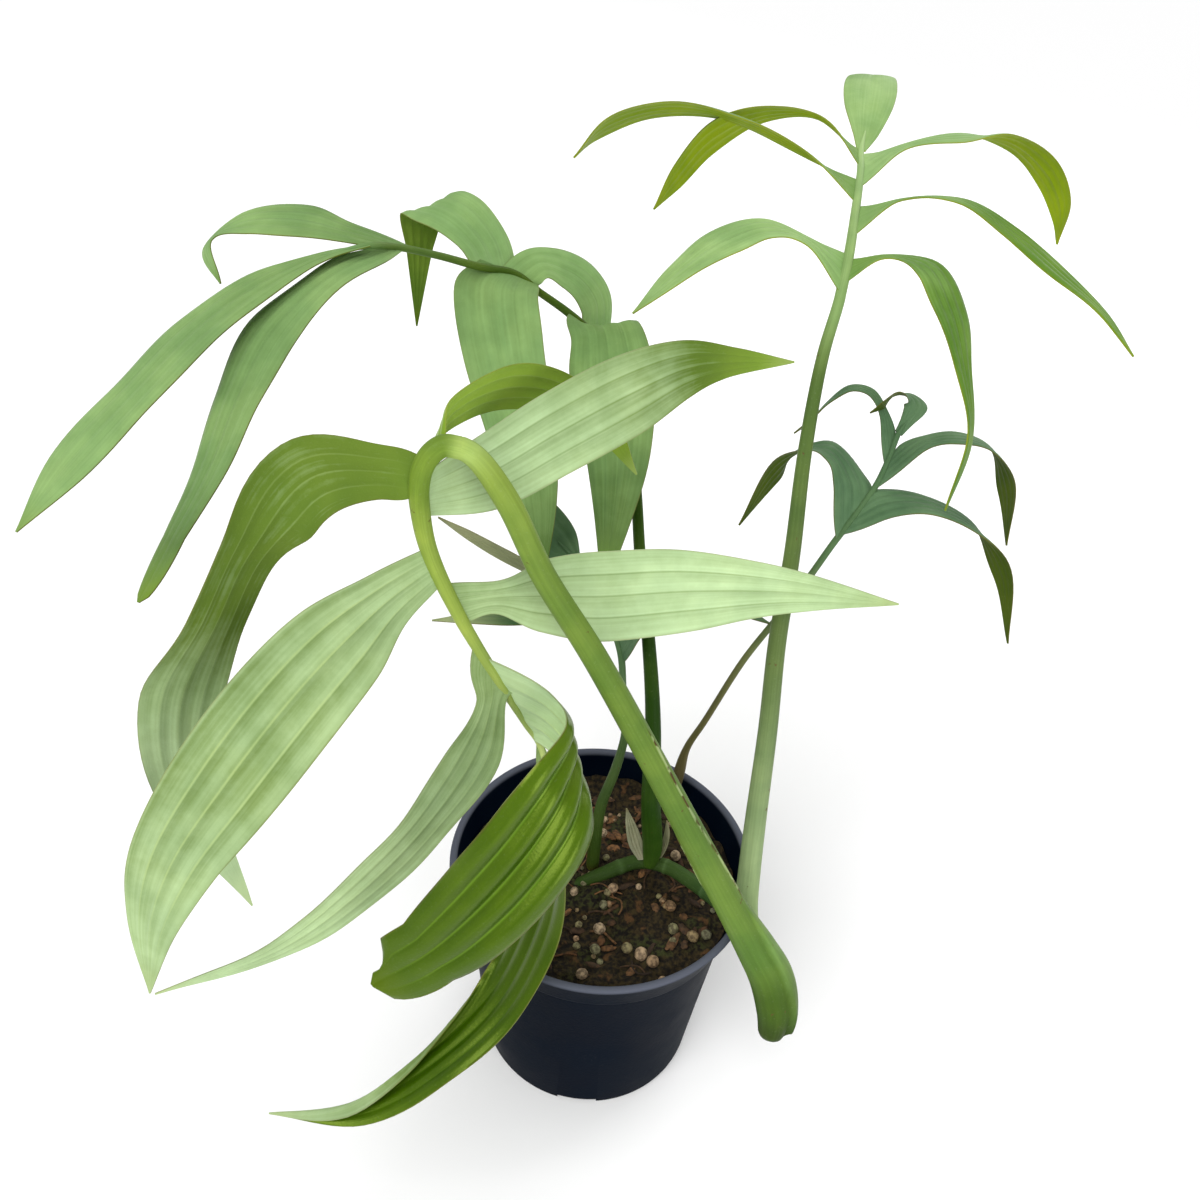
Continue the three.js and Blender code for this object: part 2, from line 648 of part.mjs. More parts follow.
function creeperSolid(extra) {
  const curve = smoothLine(vectors(CREEPER.points));
  const rings = (CREEPER.points.length - 1) * STALK_RINGS_PER_STEP;
  return stalk(curve, 0, 1, rings, STALK_SIDES, (share) => blendValues(CREEPER.radii, share), extra);
}

const MATERIALS = {
  pot: { color: 0x1c2129, roughness: 0.45, metalness: 0 },
  soil: { color: 0x2e2219, roughness: 1, metalness: 0 },
  creeping_stem: { color: 0x5f8f3c, roughness: 0.5, metalness: 0 },
  front_frond_petiole: { color: 0x86a64c, roughness: 0.5, metalness: 0 },
  front_frond_blade: { color: 0xa3bf82, roughness: 0.5, metalness: 0 },
  right_frond_petiole: { color: 0x9ab27c, roughness: 0.5, metalness: 0 },
  right_frond_blade: { color: 0x86a94f, roughness: 0.5, metalness: 0 },
  back_frond_petiole: { color: 0x4c6f33, roughness: 0.5, metalness: 0 },
  back_frond_blade: { color: 0x86b36c, roughness: 0.5, metalness: 0 },
  low_frond_petiole: { color: 0x5d6b3a, roughness: 0.5, metalness: 0 },
  low_frond_blade: { color: 0x648a60, roughness: 0.5, metalness: 0 },
  young_frond_petiole: { color: 0x4c6f33, roughness: 0.5, metalness: 0 },
  young_frond_blade: { color: 0x648a60, roughness: 0.5, metalness: 0 },
};

const plant = new THREE.Group();

function addPiece(name, solid) {
  const mesh = new THREE.Mesh(toGeometry(solid), new THREE.MeshStandardMaterial(MATERIALS[name]));
  mesh.name = name;
  plant.add(mesh);
}

addPiece('pot', potSolid());

const creeperShell = creeperSolid(CLEARANCE);
let soil = soilSolid().subtract(creeperShell);
addPiece('creeping_stem', creeperSolid(0));

FRONDS.forEach((frond) => {
  const grown = growFrond(frond);
  soil = soil.subtract(grown.shell);
  addPiece(`${frond.name}_petiole`, grown.petiole.subtract(creeperShell));
  addPiece(`${frond.name}_blade`, grown.leaf);
});

addPiece('soil', soil);

export default plant;
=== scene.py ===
# %% [markdown]
# # A young pinnate monstera in a nursery pot
# A climbing houseplant stands in a round plastic pot. Five fronds rise on bare stalks from a creeping
# stem, and each carries long drooping leaflets along its upper end.
#
# The solids of the plant come packed from a CAD model, and this lesson dresses them in Blender. Every
# step starts with a few sentences on the real thing, on the ways to make it and on the way chosen.

import math
import random
from collections import namedtuple

import bpy
import numpy as np
from mathutils import Matrix, Vector, noise


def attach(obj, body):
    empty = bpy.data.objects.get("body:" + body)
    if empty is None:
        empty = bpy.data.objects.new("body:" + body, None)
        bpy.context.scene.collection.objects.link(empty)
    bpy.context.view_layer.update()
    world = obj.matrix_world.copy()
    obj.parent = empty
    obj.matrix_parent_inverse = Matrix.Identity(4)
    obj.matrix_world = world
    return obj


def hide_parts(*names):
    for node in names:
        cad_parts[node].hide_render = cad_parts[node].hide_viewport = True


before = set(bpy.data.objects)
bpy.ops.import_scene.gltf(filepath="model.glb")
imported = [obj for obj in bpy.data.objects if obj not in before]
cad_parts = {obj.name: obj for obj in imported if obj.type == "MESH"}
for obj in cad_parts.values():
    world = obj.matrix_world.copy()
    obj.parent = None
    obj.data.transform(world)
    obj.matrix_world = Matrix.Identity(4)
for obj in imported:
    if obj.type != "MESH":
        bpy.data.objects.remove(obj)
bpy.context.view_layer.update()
MM = 0.001
print("solids:", ", ".join(sorted(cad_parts)))

# %% [markdown]
# ## The camera
# The photograph was taken from a little above, close to the plant, so near leaves look much larger than
# far ones. A camera could be aimed with a tracking constraint, but its place and angles are known here.
# A matrix built from three directions says exactly how it stands, with its small roll included.

# %% Place the camera
LENS_MM = 35.0
CLIP_START = 0.01
CAMERA_AT = (-8.5, -271.7, 435.9)
CAMERA_DOWN = math.radians(38.9)
CAMERA_ROLL = math.radians(4.8)


def add_object(name, data):
    thing = bpy.data.objects.new(name, data)
    bpy.context.scene.collection.objects.link(thing)
    return thing


def place_camera():
    forward = Vector((0, math.cos(CAMERA_DOWN), -math.sin(CAMERA_DOWN)))
    level_up = Vector((0, math.sin(CAMERA_DOWN), math.cos(CAMERA_DOWN)))
    level_right = Vector((1, 0, 0))
    right = level_right * math.cos(CAMERA_ROLL) + level_up * math.sin(CAMERA_ROLL)
    up = level_up * math.cos(CAMERA_ROLL) - level_right * math.sin(CAMERA_ROLL)
    camera = add_object("camera", bpy.data.cameras.new("camera"))
    camera.data.lens = LENS_MM
    camera.data.clip_start = CLIP_START
    turn = Matrix((right, up, -forward)).transposed().to_4x4()
    camera.matrix_world = Matrix.Translation(Vector(CAMERA_AT) * MM) @ turn
    bpy.context.scene.camera = camera
    return camera


camera = place_camera()
print("camera height above the floor:", round(camera.matrix_world.translation.z, 3), "m")

# %% [markdown]
# ## Studio floor and light
# The plant stands on a plain pale floor in soft light from all round. One hard lamp would throw sharp
# shadows of every leaflet. The light comes from a bright world and from one very wide sun, which lights
# the floor evenly out to its far edge, and two large windows behind and beside the plant give the leaves
# their sheen. The view transform is Standard, because it keeps leaf greens as they are set.

# %% Lay the floor
FLOOR_SIZE = 12.0
FLOOR_SINK = 0.0002
FLOOR_GREY = (0.93, 0.93, 0.93, 1)
PAPER_ROUGHNESS = 0.9


def lay_floor():
    half = FLOOR_SIZE / 2
    corners = [(x * half, y * half, -FLOOR_SINK) for x, y in ((-1, -1), (1, -1), (1, 1), (-1, 1))]
    floor = add_object("floor", bpy.data.meshes.new("floor"))
    floor.data.from_pydata(corners, [], [(0, 1, 2, 3)])
    paint = bpy.data.materials.new("floor paper")
    paint.use_nodes = True
    paper = paint.node_tree.nodes["Principled BSDF"]
    paper.inputs["Base Color"].default_value = FLOOR_GREY
    paper.inputs["Roughness"].default_value = PAPER_ROUGHNESS
    floor.data.materials.append(paint)


lay_floor()
print("floor:", FLOOR_SIZE, "m square")

# %% Set the lamps
WORLD_STRENGTH = 0.5
LAMPS = {
    "sky_light": ("SUN", 2.4, (-0.55, -0.75, 1.1), (0, 0, 0), {"angle": math.radians(50)}),
    "back_window": ("AREA", 6.0, (0.6, 0.9, 0.8), (0, 0, 0.2), {"size": 1.0}),
    "side_window": ("AREA", 6.0, (0.8, -1.1, 0.3), (0, 0, 0.15), {"size": 0.7}),
}


def set_world():
    world = bpy.data.worlds.new("pale studio")
    world.use_nodes = True
    background = world.node_tree.nodes["Background"]
    background.inputs["Color"].default_value = (1, 1, 1, 1)
    background.inputs["Strength"].default_value = WORLD_STRENGTH
    bpy.context.scene.world = world
    bpy.context.scene.view_settings.view_transform = "Standard"


def add_lamp(name, kind, energy, at, aim, settings):
    lamp = add_object(name, bpy.data.lights.new(name, kind))
    lamp.data.energy = energy
    for setting, value in settings.items():
        setattr(lamp.data, setting, value)
    lamp.location = at
    lamp.rotation_euler = (Vector(aim) - Vector(at)).to_track_quat("-Z", "Y").to_euler()


set_world()
for name, lamp in LAMPS.items():
    add_lamp(name, *lamp)
print("lamps:", ", ".join(LAMPS))

# %% [markdown]
# ## Smooth lines
# Stalks, rachises and leaflets all follow smooth lines through a few given points. Blender's own
# curves could carry them, but the solids were grown along centripetal splines, which pass through every
# point and never loop between two of them. The same formula here keeps each finer piece on its solid.

# %% Lines through points
def unit(vector):
    return vector / np.linalg.norm(vector)


class SmoothLine:
    """A smooth line through points. Equal shares lie between each point and the next."""

    def __init__(self, points, even=False):
        self.points = np.array(points, float)
        self.even = even

    def at(self, share):
        points = self.points
        place = min(max(share, 0.0), 1.0) * (len(points) - 1)
        first = min(int(place), len(points) - 2)
        weight = place - first
        start, end = points[first], points[first + 1]
        before = points[first - 1] if first > 0 else 2 * start - end
        after = points[first + 2] if first + 2 < len(points) else 2 * end - start
        if self.even:
            leave, arrive = (end - before) / 2, (after - start) / 2
        else:
            pairs = ((before, start), (start, end), (end, after))
            gap_in, gap, gap_out = (math.sqrt(np.linalg.norm(b - a)) for a, b in pairs)
            middle = (end - start) / gap
            leave = (start - before) / gap_in - (end - before) / (gap_in + gap) + middle
            arrive = middle - (after - start) / (gap + gap_out) + (after - end) / gap_out
            leave, arrive = leave * gap, arrive * gap
        bend = 3 * (end - start) - 2 * leave - arrive
        twist = 2 * (start - end) + leave + arrive
        return start + weight * (leave + weight * (bend + weight * twist))

    def tangent(self, share, step=1e-4):
        return unit(self.at(min(share + step, 1)) - self.at(max(share - step, 0)))


def smooth_value(values, share):
    return float(SmoothLine([[value] for value in values], even=True).at(share)[0])


def running_lengths(line, samples=400):
    """Shares along a line, the part of its length behind each, and its whole length."""
    shares = np.linspace(0, 1, samples + 1)
    points = np.array([line.at(share) for share in shares])
    lengths = np.concatenate([[0], np.cumsum(np.linalg.norm(np.diff(points, axis=0), axis=1))])
    return shares, lengths / lengths[-1], lengths[-1]


print("halfway from 0 to 1 to 4:", smooth_value([0, 1, 4], 0.5))

# %% [markdown]
# ## Gathering a mesh
# Each frond is many grids and tubes that belong to one piece. Joining Blender objects afterwards works,
# but it loses track of numbers kept on the points. A small collector keeps points, faces and marks
# together and writes one mesh at the end. Marks become attributes, which materials can read later.

# %% Collect points, faces and marks
MARKS = ("across", "along", "tone", "pale", "crease")
SHARP_EDGE = math.radians(70)


class Collector:
    def __init__(self):
        self.points, self.faces, self.slots = [], [], []
        self.marks = {name: [] for name in MARKS}
        self.count = 0

    def add(self, points, faces, slot=0, **marks):
        """faces count from this part's own first point, and slot is one number or one a face."""
        points = np.asarray(points, float)
        self.points.append(points)
        self.faces.extend([tuple(index + self.count for index in face) for face in faces])
        self.slots.extend(slot if hasattr(slot, "__len__") else [slot] * len(faces))
        for name in MARKS:
            self.marks[name].append(np.broadcast_to(marks.get(name, 0.0), len(points)))
        self.count += len(points)

    def build(self, name, materials=(), sharp_angle=SHARP_EDGE):
        mesh = bpy.data.meshes.new(name)
        mesh.from_pydata(np.concatenate(self.points) * MM, [], self.faces)
        mesh.polygons.foreach_set("material_index", self.slots)
        mesh.shade_smooth()
        for mark in MARKS:
            attribute = mesh.attributes.new(mark, "FLOAT", "POINT")
            values = np.concatenate(self.marks[mark]).astype(np.float32)
            attribute.data.foreach_set("value", values)
        for material in materials:
            mesh.materials.append(material)
        if sharp_angle:
            mesh.set_sharp_from_angle(angle=sharp_angle)
        mesh.validate()
        print(f"{name}: {sum(len(face) - 2 for face in self.faces)} triangles")
        return add_object(name, mesh)


def finish_piece(piece, nodes):
    """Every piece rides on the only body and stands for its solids."""
    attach(piece, "root")
    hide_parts(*nodes)
    return piece


print("marks kept on points:", ", ".join(MARKS))

# %% [markdown]
# ## Node helpers
# Procedural materials are node trees. Adding nodes by hand takes many lines that look alike, so a few
# helpers do it. A value given to an input is set on it, and a socket given to it is linked. Noise, ramps
# and mixes come back as sockets, ready to be given to the next node.

# %% Helpers for nodes
def with_alpha(value):
    return (*value, 1) if hasattr(value, "__len__") and len(value) == 3 else value


def give(tree, socket, value):
    if isinstance(value, bpy.types.NodeSocket):
        tree.links.new(value, socket)
    else:
        socket.default_value = with_alpha(value) if socket.type == "RGBA" else value


def add_node(tree, kind, inputs=None, **settings):
    node = tree.nodes.new("ShaderNode" + kind)
    for name, value in settings.items():
        setattr(node, name, value)
    for key, value in (inputs or {}).items():
        give(tree, node.inputs[key], value)
    return node


def math_node(tree, operation, *values, clamp=False):
    inputs = dict(enumerate(values))
    return add_node(tree, "Math", inputs, operation=operation, use_clamp=clamp).outputs[0]


def times(tree, first, second, clamp=False):
    return math_node(tree, "MULTIPLY", first, second, clamp=clamp)


print("helpers for nodes: give, add_node, math_node, times")

# %% Helpers for ramps, mixes and noise
def ramp(tree, value, low, high, to_low=0.0, to_high=1.0):
    """value from low to high becomes to_low to to_high, smoothly and never past them."""
    inputs = {"Value": value, "From Min": low, "From Max": high, "To Min": to_low, "To Max": to_high}
    return add_node(tree, "MapRange", inputs, interpolation_type="SMOOTHSTEP").outputs[0]


def mix_colours(tree, share, first, second):
    return add_node(tree, "Mix", {0: share, 6: first, 7: second}, data_type="RGBA").outputs[2]


def lay_over(tree, colour, layers):
    """The colour of each layer covers what lies below it, as far as its share says."""
    for share, above in layers:
        colour = mix_colours(tree, share, colour, above)
    return colour


def noise_over(tree, scale, detail, place=None, **more):
    """Noise over the object's own space, or over place where that is given."""
    if place is None:
        place = add_node(tree, "TexCoord").outputs["Object"]
    inputs = {"Vector": place, "Scale": scale, "Detail": detail, **more}
    return add_node(tree, "TexNoise", inputs).outputs["Fac"]


def stretched(tree, x, y, z):
    return add_node(tree, "CombineXYZ", {"X": x, "Y": y, "Z": z}).outputs[0]


def read_mark(tree, name):
    return add_node(tree, "Attribute", attribute_name=name).outputs["Fac"]


def colour_ramp(tree, value, stops, interpolation="LINEAR"):
    node = add_node(tree, "ValToRGB", {"Fac": value})
    node.color_ramp.interpolation = interpolation
    marks = node.color_ramp.elements
    while len(marks) < len(stops):
        marks.new(0.5)
    for mark, (place, colour) in zip(marks, stops):
        mark.position, mark.color = place, (*colour, 1)
    return node.outputs["Color"]


print("helpers for colours: ramp, mix_colours, lay_over, noise_over, stretched, read_mark, colour_ramp")

# %% Helpers for groups and materials
def start_group(name, inputs, outputs):
    group = bpy.data.node_groups.new(name, "ShaderNodeTree")
    for title, value in inputs.items():
        kind = "NodeSocketColor" if hasattr(value, "__len__") else "NodeSocketFloat"
        socket = group.interface.new_socket(title, in_out="INPUT", socket_type=kind)
        socket.default_value = with_alpha(value)
    for title, kind in outputs.items():
        group.interface.new_socket(title, in_out="OUTPUT", socket_type="NodeSocket" + kind)
    source = group.nodes.new("NodeGroupInput")
    target = group.nodes.new("NodeGroupOutput")
    return group, source.outputs, target.inputs


def use_group(tree, group, inputs=None):
    return add_node(tree, "Group", inputs, node_tree=group).outputs


def start_material(name, roughness, shine):
    material = bpy.data.materials.new(name)
    material.use_nodes = True
    shader = material.node_tree.nodes["Principled BSDF"]
    shader.inputs["Roughness"].default_value = roughness
    shader.inputs["Specular IOR Level"].default_value = shine
    return material, material.node_tree, shader


def finish_surface(tree, shader, colour, height, strength, distance):
    tree.links.new(colour, shader.inputs["Base Color"])
    bump = add_node(tree, "Bump", {"Height": height, "Strength": strength, "Distance": distance})
    tree.links.new(bump.outputs["Normal"], shader.inputs["Normal"])


print("helpers for surfaces: start_group, use_group, start_material, finish_surface")

# %% [markdown]
# ## Living tissue
# Leaf and stalk are never one green. Cloudy patches and tiny pale specks break it up. Painted textures
# would need an image, so noise at two sizes does it. The same group serves all leaves and stalks, each
# with its own strength.

# %% Node group: living tissue
SPECK_COLOUR = (0.75, 0.8, 0.6)
SPECK_SCALE = 1400.0


def tissue_group():
    inputs = {"Color": (0.2, 0.4, 0.1), "Patches": 0.3, "Specks": 0.2, "Patch Scale": 60.0}
    outputs = {"Color": "Color", "Height": "Float"}
    group, given, result = start_group("Living tissue", inputs, outputs)
    cloud = noise_over(group, given["Patch Scale"], 3.0)
    shade = times(group, ramp(group, cloud, 0.3, 0.7, -0.5, 0.5), given["Patches"])
    value = math_node(group, "ADD", shade, 1.0)
    hue = math_node(group, "MULTIPLY_ADD", shade, -0.06, 0.5)
    shaded = add_node(group, "HueSaturation", {"Hue": hue, "Value": value, "Color": given["Color"]})
    fine = noise_over(group, SPECK_SCALE, 2.0)
    speck = times(group, ramp(group, fine, 0.6, 0.75), given["Specks"])
    pale = mix_colours(group, speck, shaded.outputs["Color"], SPECK_COLOUR)
    group.links.new(pale, result["Color"])
    group.links.new(fine, result["Height"])
    return group


LIVING_TISSUE = tissue_group()
print("group:", LIVING_TISSUE.name)

# %% [markdown]
# ## Leaf blades
# Each leaflet has three strong nerves that run from foot to tip, with many fine parallel veins between
# them. The strong ones are shaped in the mesh, and this group paints them. The marks across and along
# say where a point lies on its leaflet, so the lines follow every bend and meet at the tip. The mark
# pale leads from the base colour to the light one, or below zero to the fresh one, and streaks and
# blotches break it up. Each leaf material gives the group its own five colours.

# %% Masks across a blade
NERVE_SIDE = 0.48
NERVE_WIDTH = 0.034
STREAKS = 13.0


def nerve_mask(group, across, width):
    """1 along the three nerves, falling to 0 one nerve width away."""
    off_middle = math_node(group, "ABSOLUTE", across)
    off_side = math_node(group, "ABSOLUTE", math_node(group, "SUBTRACT", off_middle, NERVE_SIDE))
    nearest = math_node(group, "DIVIDE", math_node(group, "MINIMUM", off_middle, off_side), width)
    return math_node(group, "MAXIMUM", math_node(group, "SUBTRACT", 1.0, nearest), 0.0)


def fold_mask(group, across):
    """Darkest on one side of each bay between two nerves, as where a fold turns from the light."""
    bay = math_node(group, "ADD", math_node(group, "DIVIDE", across, NERVE_SIDE), 4.0)
    bay = math_node(group, "FRACT", bay)
    return times(group, ramp(group, bay, 0.0, 0.08), ramp(group, bay, 0.7, 0.08))


print("nerves at", -NERVE_SIDE, 0, NERVE_SIDE, "of the half width")

# %% Node group: leaf blade
STREAK_SHADE = 0.07
FOLD_SHADE = 0.16
MARGIN_BROWN = (0.16, 0.11, 0.035)
BLADE_COLOURS = ("Base", "Light", "Fresh", "Nerve", "Tip")


def blade_group():
    inputs = {**dict.fromkeys(BLADE_COLOURS, (0.2, 0.4, 0.1)), "Streaks": STREAKS,
              "Nerve Width": NERVE_WIDTH}
    outputs = {"Color": "Color", "Streak": "Float"}
    group, given, result = start_group("Leaf blade", inputs, outputs)
    across, along, tone, pale, crease = (read_mark(group, name) for name in MARKS)
    nerve = times(group, nerve_mask(group, across, given["Nerve Width"]), crease)
    fold = times(group, fold_mask(group, across), crease)
    place = stretched(group, times(group, across, given["Streaks"]), times(group, along, 2.5),
                      times(group, tone, 37.0))
    streak, blotch = noise_over(group, 1.0, 4.0, place), noise_over(group, 110.0, 5.0, Roughness=0.62)
    uneven = ramp(group, streak, 0.3, 0.72, -STREAK_SHADE, STREAK_SHADE)
    uneven = math_node(group, "SUBTRACT", uneven, times(group, fold, FOLD_SHADE))
    blotched = ramp(group, blotch, 0.3, 0.7, -STREAK_SHADE, STREAK_SHADE)
    uneven = math_node(group, "ADD", uneven, blotched)
    margin = ramp(group, math_node(group, "ABSOLUTE", across), 0.955, 1.0)
    colour = lay_over(group, given["Base"], [
        (math_node(group, "ADD", pale, uneven, clamp=True), given["Light"]),
        (times(group, pale, -1.0, clamp=True), given["Fresh"]),
        (times(group, nerve, 0.55), given["Nerve"]),
        (times(group, nerve, -0.6, clamp=True), given["Base"]),
        (times(group, ramp(group, along, 0.9, 1.0), 0.4), given["Tip"]),
        (times(group, margin, 0.35), MARGIN_BROWN),
    ])
    group.links.new(colour, result["Color"])
    group.links.new(streak, result["Streak"])
    return group


LEAF_BLADE = blade_group()
print("group:", LEAF_BLADE.name)

# %% [markdown]
# ## Leaf materials
# The upper face of a leaflet is smooth and glossy, and the underside is paler and satin. One two-sided
# material would have to guess which side it is on. The mesh knows, so each frond gets two materials
# made by the same function: base colour, pale and fresh colour, nerve colour and tip colour differ.

# %% Looks of the leaves
LeafLook = namedtuple("LeafLook", "base light fresh nerve tip rough patches coat shine",
                      defaults=(0.0, 0.05))
LEAF_LOOKS = {
    "front leaf upper": LeafLook(
        (0.026, 0.066, 0.0005), (0.08, 0.15, 0.005), (0.2, 0.34, 0.02), (0.09, 0.19, 0.012),
        (0.09, 0.13, 0.004), 0.28, 0.15, coat=0.04, shine=0.7),
    "front leaf under": LeafLook(
        (0.11, 0.18, 0.025), (0.53, 0.7, 0.39), (0.28, 0.43, 0.05), (0.4, 0.52, 0.2),
        (0.36, 0.42, 0.16), 0.42, 0.12),
    "right leaf upper": LeafLook(
        (0.09, 0.19, 0.02), (0.33, 0.5, 0.2), (0.2, 0.34, 0.02), (0.26, 0.41, 0.13),
        (0.16, 0.23, 0.02), 0.42, 0.2),
    "right leaf under": LeafLook(
        (0.17, 0.26, 0.003), (0.29, 0.37, 0.02), (0.2, 0.3, 0.01), (0.2, 0.3, 0.015),
        (0.2, 0.25, 0.01), 0.46, 0.2),
    "back leaf upper": LeafLook(
        (0.11, 0.19, 0.055), (0.29, 0.47, 0.175), (0.2, 0.34, 0.04), (0.2, 0.34, 0.11),
        (0.13, 0.2, 0.01), 0.44, 0.2),
    "back leaf under": LeafLook(
        (0.07, 0.13, 0.012), (0.13, 0.22, 0.03), (0.12, 0.2, 0.02), (0.09, 0.16, 0.02),
        (0.12, 0.15, 0.01), 0.46, 0.3),
    "small leaf upper": LeafLook(
        (0.05, 0.11, 0.045), (0.14, 0.24, 0.13), (0.45, 0.52, 0.26), (0.1, 0.18, 0.08),
        (0.07, 0.1, 0.02), 0.44, 0.3),
    "small leaf under": LeafLook(
        (0.035, 0.06, 0.006), (0.06, 0.095, 0.01), (0.25, 0.27, 0.14), (0.05, 0.08, 0.015),
        (0.06, 0.07, 0.01), 0.48, 0.3),
    "dry sheath": LeafLook(
        (0.3, 0.3, 0.17), (0.5, 0.5, 0.34), (0.3, 0.3, 0.17), (0.3, 0.25, 0.12),
        (0.25, 0.15, 0.06), 0.7, 0.6),
}
print("leaf looks:", len(LEAF_LOOKS))

# %% Make the leaf materials
LEAF_SHEEN = (0.75, 1.0, 0.15, 1)
COAT_ROUGHNESS = 0.22
LEAF_SPECKS = 0.02


def leaf_material(name, look):
    material, tree, shader = start_material(name, look.rough, look.shine)
    shader.inputs["Coat Weight"].default_value = look.coat
    shader.inputs["Coat Roughness"].default_value = COAT_ROUGHNESS
    shader.inputs["Specular Tint"].default_value = LEAF_SHEEN
    blade = use_group(tree, LEAF_BLADE, dict(zip(BLADE_COLOURS, look)))
    given = {"Color": blade["Color"], "Patches": look.patches, "Specks": LEAF_SPECKS}
    tissue = use_group(tree, LIVING_TISSUE, given)
    height = math_node(tree, "ADD", times(tree, blade["Streak"], 0.35), times(tree, tissue["Height"], 0.3))
    finish_surface(tree, shader, tissue["Color"], height, 0.3, 0.0006)
    return material


LEAF_MATERIALS = {name: leaf_material(name, look) for name, look in LEAF_LOOKS.items()}
print("leaf materials:", len(LEAF_MATERIALS))

# %% [markdown]
# ## Stalk materials
# A petiole changes colour on its way up: darker or brown where it leaves the soil, fresh green in the
# middle and lime at its end. At the foot of the front petiole the dark colour is also painted shade. A
# colour ramp along the stalk is the natural tool, fed by the mark along.
# Fine lines along the stalk and small scars come from noise in a group that all stalks use. There the
# mark pale makes the wing of the front sheath paler, partly its own paler skin and partly painted light
# on the lit side of its step, and below zero it dries its margins.

# %% Colours along the stalks
STALK_LOOKS = {
    # The darkest stops at the foot of the front petiole are partly its own darker colour and partly painted
    # shade.
    "front": [(0.0, (0.03, 0.055, 0.006)), (0.13, (0.045, 0.09, 0.01)), (0.28, (0.1, 0.18, 0.03)),
              (0.6, (0.115, 0.195, 0.03)), (0.85, (0.19, 0.28, 0.045)), (0.95, (0.28, 0.4, 0.1)),
              (1.0, (0.3, 0.42, 0.1))],
    "right": [(0.0, (0.32, 0.42, 0.18)), (0.25, (0.26, 0.35, 0.16)), (0.55, (0.1, 0.155, 0.045)),
              (0.85, (0.085, 0.14, 0.03)), (1.0, (0.24, 0.36, 0.12))],
    "back": [(0.0, (0.06, 0.14, 0.015)), (0.3, (0.02, 0.055, 0.004)), (1.0, (0.05, 0.1, 0.01))],
    "low": [(0.0, (0.08, 0.065, 0.028)), (0.4, (0.12, 0.11, 0.04)), (0.75, (0.1, 0.14, 0.05)),
            (1.0, (0.08, 0.15, 0.06))],
    "young": [(0.0, (0.16, 0.13, 0.02)), (0.15, (0.04, 0.075, 0.01)), (1.0, (0.07, 0.12, 0.04))],
    "creeper": [(0.0, (0.035, 0.07, 0.012)), (1.0, (0.07, 0.14, 0.04))],
    "front rachis": [(0.0, (0.3, 0.42, 0.1)), (0.1, (0.15, 0.24, 0.03)), (0.35, (0.17, 0.26, 0.03)),
                     (0.6, (0.27, 0.36, 0.06)), (1.0, (0.4, 0.5, 0.17))],
    "right rachis": [(0.0, (0.24, 0.36, 0.12)), (1.0, (0.3, 0.45, 0.18))],
    "back rachis": [(0.0, (0.04, 0.075, 0.006)), (0.45, (0.06, 0.11, 0.01)), (0.8, (0.09, 0.16, 0.03)),
                    (1.0, (0.2, 0.34, 0.13))],
    "small rachis": [(0.0, (0.08, 0.15, 0.06)), (1.0, (0.09, 0.17, 0.08))],
}
print("stalk looks:", ", ".join(STALK_LOOKS))

# %% Node group: stalk skin
SCAR_BROWN = (0.1, 0.05, 0.02)
DRY_COLOURS = ((0.3, 0.38, 0.16), (0.07, 0.035, 0.012))


def skin_group():
    outputs = {"Color": "Color", "Lines": "Float"}
    group, given, result = start_group("Stalk skin", {"Color": (0.2, 0.4, 0.1)}, outputs)
    across, along, tone, pale, _ = (read_mark(group, name) for name in MARKS)
    place = stretched(group, times(group, across, 30.0), times(group, along, 6.0), tone)
    lines = noise_over(group, 1.0, 3.0, place)
    lined = {"Value": ramp(group, lines, 0.25, 0.75, 0.9, 1.08), "Color": given["Color"]}
    colour = add_node(group, "HueSaturation", lined).outputs["Color"]
    scarred = ramp(group, noise_over(group, 330.0, 3.0), 0.71, 0.76, 0.0, 0.8)
    colour = mix_colours(group, scarred, colour, SCAR_BROWN)
    # Above zero the mark pale makes the skin paler. On the wing of the front sheath this is partly painted
    # light on its step.
    paler = add_node(group, "HueSaturation", {"Value": 1.7, "Saturation": 0.88, "Color": colour})
    flakes = ramp(group, noise_over(group, 240.0, 3.0), 0.48, 0.56)
    colour = lay_over(group, colour, [
        (times(group, pale, 0.8, clamp=True), paler.outputs["Color"]),
        (times(group, pale, -1.0, clamp=True), mix_colours(group, flakes, *DRY_COLOURS)),
    ])
    group.links.new(colour, result["Color"])
    group.links.new(lines, result["Lines"])
    return group


STALK_SKIN = skin_group()
print("group:", STALK_SKIN.name)

# %% Make the stalk materials
def stalk_material(name, stops):
    material, tree, shader = start_material(name, 0.45, 0.07)
    own = colour_ramp(tree, read_mark(tree, "along"), stops, "EASE")
    skin = use_group(tree, STALK_SKIN, {"Color": own})
    given = {"Color": skin["Color"], "Patches": 0.25, "Specks": 0.03}
    tissue = use_group(tree, LIVING_TISSUE, given)
    finish_surface(tree, shader, tissue["Color"], skin["Lines"], 0.3, 0.0005)
    return material


STALK_MATERIALS = {name: stalk_material(f"{name} stalk", stops) for name, stops in STALK_LOOKS.items()}
print("stalk materials:", len(STALK_MATERIALS))

# %% [markdown]
# ## Where every part grows
# These are the given points of the plant, in millimetres and the same as in its solids. A frond is
# one line from the foot of its petiole to the tip of its rachis, and knee counts the points of the
# petiole. A leaflet leaves the rachis between two shares of its length, its foot, and follows its spine.
# wide is its width along the spine, and face is where its upper side looks. pale is how far its colour
# goes from base to light, or below zero to fresh. nerves, puff and wave shape its surface, and round,
# tip, nicks and roll its margin.

